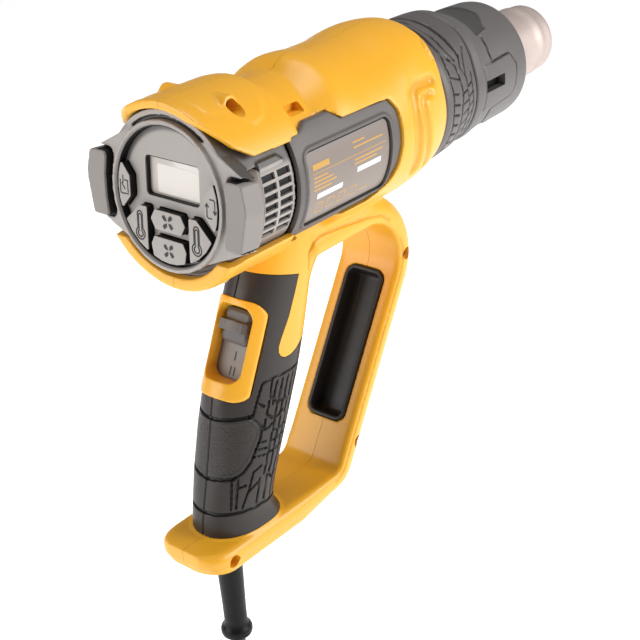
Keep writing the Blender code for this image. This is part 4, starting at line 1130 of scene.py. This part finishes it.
def switch():
    """Bezel let into the handle, a marked plate, and a slider with two humps and a saddle between them."""
    bezel = prism("switch_frame", switch_outline(0.0), SWITCH_FLOOR, 12.0, SWITCH)
    clip(bezel, handle("bezel_skin", -0.8, low=-130.0))
    mouth = rounded_box(-11.6, 11.6, 8.6, 43.2, 6.5, 10)
    throat = rounded_box(-9.2, 9.2, 9.8, 42.0, 5.0, 10)
    levels = ((SWITCH_FLOOR - 1, throat), (-6.0, throat), (-1.0, mouth), (10.0, mouth))
    cut(bezel, loft("window", [level(SWITCH, ring, height) for height, ring in levels]))
    soften(bezel, 0.42, 8)
    settle(bezel, "amber_plastic", ["switch_bezel"])
    top = SWITCH_FLOOR - GAP
    plate = prism("switch_plate", rounded_box(-10.5, 10.5, 6.0, 44.0, 3.0), SWITCH_FLOOR - 1.7, top, SWITCH)
    settle(rounded_edges(plate, 0.2), "grey_plastic", ["switch_scale"], paint="pad_plastic")
    marks = [(-0.35, 0.35, 18.0, 22.2), (-1.45, -0.75, 11.2, 15.2), (0.75, 1.45, 11.2, 15.2)]
    marks = merged("switch_marks", [prism("stroke", rounded_box(*sides, 0.15, 3), top, top + 0.12, SWITCH)
                                    for sides in marks])
    settle(marks, "black_plastic", paint="icon_ink")
    foot = SWITCH_FLOOR + 1.0
    slider = prism("slider", rounded_box(-8.4, 8.4, 25.6, 41.4, 3.4, 8), SWITCH_FLOOR + GAP, foot + 1.0,
                   SWITCH)
    for shoulder, crest, low_end, high_end, upper in ((2.2, 3.4, 35.8, 41.6, 1), (2.0, 3.0, 25.8, 31.6, 0)):
        rings = []
        for height, inset in ((0.0, 0.0), (shoulder, 0.2), (crest, 1.6)):
            low, high = low_end + inset * (1 - upper), high_end - inset * upper
            hump = rounded_box(-8.0 + inset, 8.0 - inset, low, high, 2.2, 8)
            rings.append(level(SWITCH, hump, foot + height))
        join(slider, loft("hump", rings))
    saddle = [(-8.2, 0.0), (8.2, 0.0), (8.2, 5.0), (6.5, 6.9), (3.0, 6.2), (0.0, 6.0), (-3.0, 6.2),
              (-6.5, 6.9), (-8.2, 5.0)]
    across = SWITCH @ Matrix(((1, 0, 0, 0), (0, 0, 1, 0), (0, 1, 0, foot), (0, 0, 0, 1)))
    join(slider, prism("bar", saddle, 31.2, 36.0, across))
    soften(slider, 0.26, 3)
    settle(slider, "grey_plastic", ["switch_slider"], body="slider", paint="dark_plastic")


# ---------------------------------------------------------------- rear module and panel

# Outlines in the panel's plane: the right ear, its bumper, and the bumper where it meets the module
EARS = ((20.5, 25.8), (37.6, 16.6), (43.4, 13.7), (45.5, 4.5), (45.5, 1.0), (42.6, -15.0), (38.5, -16.8),
        (21.5, -24.3))
PAD = ((33.6, 13.4), (43.2, 13.4), (45.4, 4.5), (45.4, 1.0), (42.6, -14.4), (33.6, -14.4), (34.8, -5.0),
       (34.9, 4.0))
PAD_FOOT = ((30.0, 13.4), (35.6, 13.4), (37.6, 4.0), (37.7, 1.0), (35.2, -14.4), (30.0, -14.4), (31.2, -5.0),
            (31.3, 4.0))
RING_TOP = 0.9
ICON_HEIGHT = (0.15, 0.34)


def pad_outline(by, shape=PAD):
    return grown(rounded(shape, 1.6, 5), by)


def wrapped_pad(name, by, front, depth=0.0):
    """Bumper on the ear that wraps its corner and runs on to the module's side."""
    rings = [level(PANEL, pad_outline(by), height) for height in (front, -8.0)]
    rings.append([Vector((17.2 + by + depth, -x, y)) for x, y in pad_outline(by, PAD_FOOT)])
    return loft(name, rings)


def grille_slots(reach, inset):
    """Boxes in the place of both flanks' air slots."""
    slots = []
    for side in (-1, 1):
        for column in (19.3, 28.3):
            for row in range(7):
                turn = Matrix.Rotation(side * math.radians(13.0 - 6.75 * row), 4, "X")
                near, far = sorted((side * 31.0, side * reach))
                slots.append(box("slot", (column + inset, near, inset - 1.45),
                                 (column + 7.6 - inset, far, 1.45 - inset), turn))
    return slots


def rear_module():
    """Rear cover with its ears and air slots, and the bumpers on the ears."""
    cover = turned("module", [(4.0, MODULE_R), (MODULE_LENGTH, MODULE_R), (MODULE_LENGTH, MODULE_R - 2.4),
                              (4.0, MODULE_R - 2.4)], 180)
    front = list(EARS) + mirrored(EARS)
    back = [Vector(p).normalized() * (MODULE_R - 2.0) for p in front]
    rings = [level(PANEL, front, -1.2), level(PANEL, front, -7.5), [Vector((15.0, -x, z)) for x, z in back]]
    ring = rod("ring", PANEL @ Vector((0, 0, -10.0)), PANEL @ Vector((0, 0, RING_TOP)), BEZEL_R, 180)
    join(cover, loft("ears", rings), ring, tube("shoulder", 6.0, 12.0, BEZEL_R - 1.0, MODULE_R - 1.6, 180))
    for side in (-1, 1):
        tab = tube("tab", 18.8, 33.0, MODULE_R - 1.0, MODULE_R + 0.9, 180)
        clip(tab, side_block("tab_side", [(18.8, 12.2), (33.5, 12.4), (30.5, 15.2), (18.8, 15.2)], -1))
        join(cover, on_side(tab, side))
        cut(cover, on_side(prism("channel", pad_outline(1.5), -4.6, 2.0, PANEL), side))
        cut(cover, on_side(wrapped_pad("room", 0.5, 3.0, 1.0), side))
    soften(cover, 0.5, 3)
    boss_x, boss_z = CASE_SCREWS[0][:2]
    cut(cover, rod("boss_room", (boss_x, -19.5, boss_z), (boss_x, 19.5, boss_z), 4.9, 40))
    cut(cover, turned("module_bore",
                      [(12.5, 0.0), (12.5, MODULE_R - 2.5), (50.0, MODULE_R - 2.5), (50.0, 0.0)], 160))
    opening = turned("opening", [(-20.0, 0.0), (-20.0, DISC_R + 0.3), (RING_TOP - 0.9, DISC_R + 0.3),
                                 (RING_TOP, DISC_R + 1.0), (4.0, DISC_R + 1.0), (4.0, 0.0)])
    cut(cover, moved(opening, ON_PANEL))
    cut(cover, merged("slots", grille_slots(42.0, 0.0)))
    # Painted shadow of the hood on the upward-facing ear tops behind the panel face
    co, normals = points_of(cover), normals_of(cover)
    into_panel = np.array(PANEL.inverted())
    depth = -(co @ into_panel[2, :3] + into_panel[2, 3])
    facing = np.maximum(normals[:, 2], -normals[:, 0])
    painted_hood_shadow = step((co[:, 2] - 9.0) / 4.0) * step((facing - 0.05) / 0.25) * step((depth - 1.3) / 0.8)
    mark(cover, "painted_shade", painted_hood_shadow)
    settle(cover, "grey_plastic", ["rear_cover"])
    dark = merged("grille_shade", [tube("drum", 14.0, 37.0, 32.0, 33.3, 120)] + grille_slots(34.9, 0.05))
    settle(dark, "black_plastic")
    # Painted shade: black sleeve standing in for the shade on the disc opening's inner wall
    opening_shade = tube("panel_shade", -7.0, RING_TOP - 1.1, DISC_R - 0.1, DISC_R + 0.25)
    settle(moved(opening_shade, ON_PANEL), "black_plastic")
    for side, name in ((-1, "right"), (1, "left")):
        bumper = wrapped_pad(f"pad_{name}", 0.0, 2.2)
        soften(bumper, 0.35, 6)
        core = [(min(x, 41.8 - abs(y) * 0.14), y) for x, y in rounded(PAD, 1.6, 5)]
        shade = prism(f"pad_shade_{name}", grown(core, 0.12), -4.4, 1.1, PANEL)
        bed = [(min(x, 41.0), min(y, 13.8)) for x, y in pad_outline(1.3)]
        join(shade, prism("bed", bed, -4.6, -4.2, PANEL))
        settle(on_side(bumper, side), "soft_rubber", [f"ear_pad_{name}"], paint="pad_plastic")
        settle(on_side(shade, side), "black_plastic")


def button_shapes():
    """Names and outlines of the six keys in the panel's plane."""
    side_key = [(21.6, 5.0), (26.2, 10.6), (27.9, 5.3), (28.4, 0.0), (27.9, -5.3), (26.6, -9.4), (21.6, -3.6)]
    heat_key = [(12.2, -6.4), (16.4, -6.4), (24.6, -14.0), (21.5, -18.5), (17.1, -22.6), (12.2, -25.4)]
    air_up = [(-7.4, -14.8), (7.4, -14.8), (9.8, -10.5), (7.4, -6.4), (-7.4, -6.4), (-9.8, -10.5)]
    air_down = [(-8.2, -18.0), (-10.0, -21.5), (-9.0, -26.6), (-4.5, -27.9), (0.0, -28.3), (4.5, -27.9),
                (9.0, -26.6), (10.0, -21.5), (8.2, -18.0)]
    return (("set", side_key), ("power", mirrored(side_key)), ("heat_up", heat_key),
            ("heat_down", mirrored(heat_key)), ("air_up", air_up), ("air_down", air_down))


def arc(centre, radius, start, end, steps=20):
    """Points along an arc between two angles in degrees."""
    return [(centre[0] + radius * math.cos(math.radians(start + (end - start) * i / steps)),
             centre[1] + radius * math.sin(math.radians(start + (end - start) * i / steps)))
            for i in range(steps + 1)]


def thermometer(x, y, size):
    """Bulb and stem in outline, as one closed line."""
    bulb, stem = 2.6 * size, 1.5 * size
    neck = math.degrees(math.asin(stem / bulb))
    line = arc((x, y - 3.6), bulb, 90 - neck, -270 + neck, 28)
    line += arc((x, y + 4.6 - 1.2 * (1 - size)), stem, 180, 0, 12)
    return line + [line[0]]


def icon_lines():
    """Simple symbols, one for each key: its strokes as lines in the panel's plane."""
    heat_up, heat_down = (16.4, -15.0), (-16.4, -15.0)
    icons = {"heat_up": [thermometer(*heat_up, 1.0), thermometer(*heat_up, 0.55)],
             "heat_down": [thermometer(*heat_down, 1.0), thermometer(*heat_down, 0.55)]}
    for name, y, size in (("air_up", -10.6, 3.6), ("air_down", -22.9, 3.4)):
        blades = []
        for i in range(4):
            angle = math.radians(45 + 90 * i)
            blade = [(0.15, 0.0), (0.45, 0.30), (0.95, 0.30), (1.05, 0.0), (0.85, -0.22), (0.45, -0.14),
                     (0.15, 0.0)]
            blades.append([(size * (a * math.cos(angle) - b * math.sin(angle)),
                            y + size * (a * math.sin(angle) + b * math.cos(angle))) for a, b in blade])
        icons[name] = blades
    x, y = 25.0, 0.2
    arrow = [[(-0.4, 3.9), (1.7, 3.9), (2.2, 3.2), (2.2, -1.2)], [(1.3, -0.7), (2.2, -1.9), (3.0, -0.7)]]
    arrow += [[(-a, -b) for a, b in line] for line in arrow]
    lever = [[(0.6, 2.6), (2.2, 2.4), (2.3, -2.4)], [(2.3, -3.2), (-1.6, -3.4), (-2.2, -2.8), (-2.2, 2.4)],
             [(-0.5, 4.2), (-0.5, 1.6), (-1.2, 0.9), (0.5, -1.4)]]
    icons["set"] = [[(x + a, y + b) for a, b in line] for line in arrow]
    icons["power"] = [[(a - x, y + b) for a, b in line] for line in lever]
    return icons


def strokes(name, lines, heights, width, matrix):
    """Raised strokes along lines in a plane, one body for each straight run, a bit longer than its line."""
    parts = []
    for line in lines:
        for a, b in zip(line, line[1:]):
            a, b = Vector(a), Vector(b)
            if (b - a).length < 1e-6:
                continue
            side = Vector((-(b - a).y, (b - a).x)).normalized() * width / 2
            lengthen = (b - a).normalized() * width * 0.35
            corners = [a - lengthen - side, b + lengthen - side, b + lengthen + side, a - lengthen + side]
            parts.append(prism("stroke", corners, *heights, matrix))
    return merged(name, parts)


def control_panel():
    """Sunken disc with six keys and the display, each in its own opening."""
    top = -DISC_DEPTH
    disc = turned("panel_disc", [(top - 2.0, 0.0), (top - 2.0, DISC_R), (top - 0.4, DISC_R),
                                 (top, DISC_R - 0.4), (top, 0.0)], pitch=0.8)
    # Painted shadow of the bezel ring on the disc's rim, widest at the upper left under a light from there
    co = points_of(disc)
    shadow_side = np.cos(np.arctan2(co[:, 2], -co[:, 1]) - math.radians(135.0))
    edge = DISC_R - 0.6 - 2.6 * step(shadow_side * 1.3)
    mark(disc, "painted_shade", step((radius_of(co) - edge) / 1.6) * 0.92)
    moved(disc, ON_PANEL)
    holes = [grown(rounded(outline, 0.5, 3), 0.5) for _, outline in button_shapes()]
    holes.append(rounded_box(-15.4, 15.4, -2.4, 14.7, 2.0))
    cut(disc, merged("holes", [prism("hole", hole, -20.0, 10.0, PANEL) for hole in holes]))
    settle(disc, "black_plastic", ["control_disc"], paint="grey_plastic")
    icons = icon_lines()
    for name, outline in button_shapes():
        cap = prism(f"key_{name}_cap", rounded(outline, 0.6, 4), -0.1, 0.25, PANEL)
        settle(rounded_edges(cap, 0.15, 3, 60.0), "grey_plastic", [f"button_{name}"], body=f"key_{name}")
        skirt = prism(f"key_{name}_skirt", grown(rounded(outline, 0.6, 4), -0.05), -DISC_DEPTH - 3.0, -0.1,
                      PANEL)
        settle(skirt, "black_plastic", body=f"key_{name}")
        if name.startswith("air"):
            blades = [prism("blade", blade[:-1], *ICON_HEIGHT, PANEL) for blade in icons[name]]
            symbol = merged(f"key_{name}_symbol", blades)
        else:
            symbol = strokes(f"key_{name}_symbol", icons[name], ICON_HEIGHT, 0.55, PANEL)
        settle(symbol, "black_plastic", body=f"key_{name}", paint="icon_ink")
    lens = prism("display", rectangle(-16.8, 16.8, -4.2, 16.0), -6.6, top - 2.3, PANEL)
    settle(rounded_edges(lens, 0.25), "display_lens", ["lcd_lens"])
    pane = prism("display_pane", rounded_box(-10.6, 14.2, -1.0, 11.2, 0.6, 4), top - 2.35, top - 2.2, PANEL)
    settle(pane, "display_lens", paint="display_pane")
    mask = prism("display_mask", rounded_box(-15.3, 15.3, -2.3, 14.6, 1.9), top - 2.25, top - 0.5, PANEL)
    cut(mask, prism("display_view", rounded_box(-14.9, 14.9, -1.9, 14.2, 1.6), -9.0, 0.0, PANEL))
    settle(mask, "black_plastic")


# ---------------------------------------------------------------- side panels

def side_panels():
    """Flank panels with their label plates; the right one has plain bars and boxes in the place of print."""
    label = rounded_box(44.0, 98.5, -21.5, 11.7, 3.0)
    for side, name in ((-1, "right"), (1, "left")):
        panel = wrapped(f"flank_{name}", panel_outline(0.0), side, PANEL_BACK, PANEL_FACE)
        rim = wrapped("rim", grown(label, 1.8), side, 37.5, 38.7)
        join(panel, rim)
        cut(panel, wrapped("bed", grown(label, GAP), side, 36.6, 45.0))
        soften(panel, 0.45, 2)
        settle(panel, "grey_plastic", [f"side_panel_{name}"], paint="dark_plastic")
        plate = wrapped(f"plate_{name}", label, side, 36.9, 37.4)
        settle(plate, "label_foil", [f"label_plate_{name}"])
        # Painted shade: thin black frame round the plate standing in for the shade on the label bed's walls
        bed_shade = wrapped(f"label_bed_shade_{name}", label, side, 37.2, 37.55)
        cut(bed_shade, wrapped("inner", grown(label, -0.6), side, 36.0, 45.0))
        settle(bed_shade, "black_plastic")
    bars = [rectangle(47.0, 95.5, 1.5, 1.8), rectangle(47.5, 58.0, 3.2, 5.6),
            rectangle(80.0, 86.0, -16.6, -16.1)]
    rows = ((47.5, ((9.0, -0.6), (12.5, -2.4), (14.5, -4.2), (11.0, -6.0))),
            (74.0, ((19.0, -0.8), (15.0, -2.6), (20.0, 4.6), (8.0, 6.8))))
    bars += [rectangle(start, start + length, z, z + 0.7) for start, lengths in rows for length, z in lengths]
    for x in (50.0, 57.5, 65.0, 72.5):
        bars += [rectangle(x, x + 4.6, z, z + 0.4) for z in (-17.0, -12.8)]
        bars += [rectangle(left, left + 0.4, -16.6, -12.8) for left in (x, x + 4.2)]
    pale = [rectangle(50.0, 66.5, -10.2, -7.8), rectangle(76.0, 92.0, -6.6, -4.2)]
    for name, shapes, paint in (("label_lines", bars, "label_gold"), ("label_fields", pale, "label_white")):
        drawn = merged(name, [side_block("bar", bar, -1) for bar in shapes])
        clip(drawn, tube("skin", 36.0, 110.0, 37.3, 37.46, 320))
        settle(drawn, "label_foil", paint=paint)


# ---------------------------------------------------------------- collar, shield and nozzle

def tread_on_collar():
    """Rings round the collar's top that break into staggered tread blocks down each flank."""
    lines = [[(151.6, 90), (151.6, 52), (152.8, 43), (156.2, 36)],
             [(156.0, 90), (156.2, 60), (157.2, 46), (160.0, 34)],
             [(161.8, 90), (162.0, 60), (163.0, 46), (164.4, 36)],
             [(170.6, 42), (168.2, 36), (166.0, 27), (165.0, 18)]]
    lines += [[(152.6, 42), (151.6, 31), (152.0, 23), (158.6, 18.6)],
              [(156.2, 36), (158.8, 30), (159.4, 18), (160.0, 6), (158.8, -5), (159.2, -20), (158.6, -40),
               (159.4, -62)],
              [(164.4, 36), (162.4, 27), (165.2, 18), (164.6, 6), (165.8, -6), (164.8, -22), (165.6, -42),
               (164.8, -62)],
              [(151.6, 20), (151.4, 8), (150.8, -6), (151.6, -20), (150.8, -42), (151.6, -62)],
              [(170.4, 20), (169.6, 6), (170.6, -8), (169.8, -24), (170.6, -44), (169.8, -62)]]
    for row in range(9):
        angle = 10.0 - 8.6 * row
        lines.append([(151.2, angle), (156.4, angle - 2.4)])
        lines.append([(159.2, angle - 4.4), (165.0, angle - 1.8)])
        lines.append([(165.2, angle - 0.5), (170.2, angle + 2.6)])
    return lines


# Radii at which lines are drawn on the collar and the shield
COLLAR_SKIN_R, SHIELD_SKIN_R = 33.5, 30.2
# Edge of the raised field on the shield's flank: places along the barrel and degrees above the horizontal
SHIELD_OUTLINE = ((190.6, -43), (190.3, -25), (207.0, -21), (209.4, -12), (210.0, 8.7), (206.0, 21),
                  (190.0, 19.3), (191.0, 44))


def front_parts():
    """Soft collar with its tread, slotted heat shield and the steel outlet."""
    pitch = 0.45
    steps = round(2 * math.pi * 34 / pitch)
    collar = turned("collar", [(FRONT_X + GAP, 29.0), (FRONT_X + GAP, 33.8), (146.2, 34.3), (149.0, 34.6),
                               (156.0, 34.0), (164.0, 33.0), (170.5, 31.8), (173.4, 31.3), (COLLAR_END, 30.8),
                               (COLLAR_END, 28.5)], steps, pitch=pitch)
    put_points(collar, swell(points_of(collar), (FRONT_X, 150.0, 160.0, 167.0, COLLAR_END),
                             (0.4, 0.4, 0.5, 2.2, 3.3)))
    co = points_of(collar)
    flat = unrolled(co, COLLAR_SKIN_R)
    outside = (radius_of(co) > 30.9) & (co[:, 0] > FRONT_X + 1.5) & (co[:, 0] < 172.5)
    lines = [on_barrel(line, COLLAR_SKIN_R) for line in tread_on_collar()]
    engrave(collar, flat, lines[:3], 1.0, 0.9, outside, shade=0.8)
    engrave(collar, flat, lines[3:], 0.62, 0.75, outside)
    settle(collar, "soft_rubber", ["front_collar"])

    shield = turned("shield", [(COLLAR_END + GAP, 28.5), (COLLAR_END + GAP, 31.2), (174.9, 31.7),
                               (179.6, 31.8), (180.6, 31.5), (182.2, 30.7), (200.0, 30.2), (217.5, 29.6),
                               (219.8, 29.2), (221.0, 28.2), (SHIELD_END, 27.4), (SHIELD_END, 26.2),
                               (180.0, 27.2)], steps, pitch=pitch)
    put_points(shield,
               swell(points_of(shield), (COLLAR_END, 180.0, 183.0, 187.0, 195.0), (2.9, 2.4, 1.8, 0.6, 0.0)))
    co = points_of(shield)
    flat = unrolled(co, SHIELD_SKIN_R)
    outside = (radius_of(co) > 28.9) & (co[:, 0] > 182.0)
    engrave(shield, flat, [on_barrel(SHIELD_OUTLINE, SHIELD_SKIN_R)], 0.9, 0.7, outside, shade=0.8)
    pad = [(183.0, -24), *SHIELD_OUTLINE[1:7], (183.0, 19)]
    emboss(shield, flat, on_barrel(pad, SHIELD_SKIN_R), 0.45, 0.9, outside)
    angle = np.arctan2(co[:, 2], -co[:, 1]) * SHIELD_SKIN_R
    for middle in (90.0, -90.0):
        recess = [(188.5, middle - 43), (199.3, middle - 39), (204.8, middle - 19), (204.8, middle + 19),
                  (199.3, middle + 39), (188.5, middle + 43)]
        around = np.stack((co[:, 0], angle), axis=1)
        sunk = emboss(shield, around, on_barrel(recess, SHIELD_SKIN_R), -0.9, 0.7, outside)
        # Painted shade inside the sunk recesses
        mark(shield, "painted_shade", sunk * 0.55)
    slots = [box("slot", (183.0, 20.0, -2.9), (198.7, 40.0, 2.9), Matrix.Rotation(turn, 4, "X"))
             for turn in (0, math.pi)]
    cut(shield, merged("slots", slots))
    settle(shield, "grey_plastic", ["heat_shield"], paint="shield_plastic", angle=30.0)
    settle(tube("shield_shade", 182.0, 200.0, 25.0, 26.0, 120), "black_plastic")

    wall = 0.8
    steel = [(150.0, 0.0), (224.0, 0.0), (249.0, 0.0), (250.6, 0.25), (252.2, 0.7), (254.2, 0.7),
             (255.8, 0.25), (257.2, 0.0), (262.4, 0.0), (NOZZLE_END, -0.25), (NOZZLE_END, 0.15 - wall),
             (262.6, -wall), (150.0, -wall)]
    nozzle = turned("nozzle", [(x, NOZZLE_R + rise) for x, rise in steel], pitch=2.0)
    settle(nozzle, "nozzle_steel", ["nozzle_tube"], angle=50.0)


def heater():
    """Ceramic core with six air channels and the heater wire wound round it, seen through the nozzle."""
    core = turned("heater_body", [(156.0, 0.0), (156.0, 11.0), (225.0, 11.0), (225.0, 0.0)], 96)
    channels = []
    for turn in range(0, 360, 60):
        y, z = 6.6 * math.cos(math.radians(turn)), 6.6 * math.sin(math.radians(turn))
        channels.append(rod("channel", (210.0, y, z), (230.0, y, z), 2.2, 24))
    cut(core, merged("channels", channels))
    cut(core, rod("middle", (210.0, 0, 0), (230.0, 0, 0), 2.0, 24))
    settle(core, "ceramic", ["heater_core"])
    curve = bpy.data.curves.new("heater_wire", "CURVE")
    curve.dimensions = "3D"
    curve.bevel_depth = 0.0006
    curve.bevel_resolution = 2
    spline = curve.splines.new("POLY")
    turns, per_turn = 22, 24
    spline.points.add(turns * per_turn)
    for i, point in enumerate(spline.points):
        angle = 2 * math.pi * i / per_turn
        x = 160.0 + 60.0 * i / (turns * per_turn)
        spot = TO_WORLD @ Vector((x, 12.0 * math.cos(angle), 12.0 * math.sin(angle)))
        point.co = (*spot, 1.0)
    wire = bpy.data.objects.new("heater_wire", curve)
    bpy.context.scene.collection.objects.link(wire)
    curve.materials.append(MATERIALS["wire"])
    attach(wire, "gun")
    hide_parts("heater_coil")


# ---------------------------------------------------------------- guard tray and screws

def guard_tray():
    """Hollow tray let into the loop's front bar."""
    tray = prism("tray", tray_outline(0.0), -TRAY_DEPTH - 1.6, 0.8, TRAY)
    inner = grown(tray_outline(0.0), -2.0)
    levels = ((-TRAY_DEPTH, -1.6), (-TRAY_DEPTH + 2.0, -0.5), (0.0, 0.0), (9.0, 0.0))
    cut(tray, loft("hollow", [level(TRAY, grown(inner, by), height) for height, by in levels]))
    soften(tray, 0.5, 4)
    settle(tray, "soft_rubber", ["guard_tray"], paint="tray_rubber")


def screws():
    """Pan-head screws with a cross recess, deep in their pockets."""
    for index, (x, z, head, tip) in enumerate(CASE_SCREWS, 1):
        under = head - GAP
        profile = [(head - 2.2, 0.0), (head - 2.2, 1.6), (head - 1.7, 2.4), (head - 1.0, 2.75),
                   (head - 0.6, SCREW_HEAD_R), (under, SCREW_HEAD_R), (under, SCREW_SHANK_R),
                   (tip - 1.5, SCREW_SHANK_R), (tip, 0.0)]
        screw = turned(f"screw_{index}", profile, 48)
        moved(screw, Matrix.Translation((x, 0.0, z)) @ Matrix.Rotation(math.pi / 2, 4, "Z"))
        for wide, tall in ((1.6, 0.28), (0.28, 1.6)):
            cut(screw, box("cross", (x - wide, head - 3.0, z - tall), (x + wide, head - 1.3, z + tall)))
        settle(screw, "steel", [f"case_screw_{index}"], angle=30.0)


# ---------------------------------------------------------------- inner nodes that keep their shape

def inner_finish():
    """Give the nodes that keep their CAD shape the material of their slot."""
    slots = {sub["node"]: sub["material_slot"] for sub in frame["record"]["subparts"]}
    for name, node in frame["nodes"].items():
        if not node.hide_render:
            node.data.materials.clear()
            node.data.materials.append(MATERIALS[slots[name]])


def main():
    camera()
    studio()
    line, start, length = cord()
    relief = strain_relief()
    tie = cord_tie()
    plug = plug_pieces()
    print("cord length", round(length, 4))
    housing()
    grips()
    switch()
    rear_module()
    control_panel()
    side_panels()
    front_parts()
    heater()
    guard_tray()
    screws()
    inner_finish()


main()
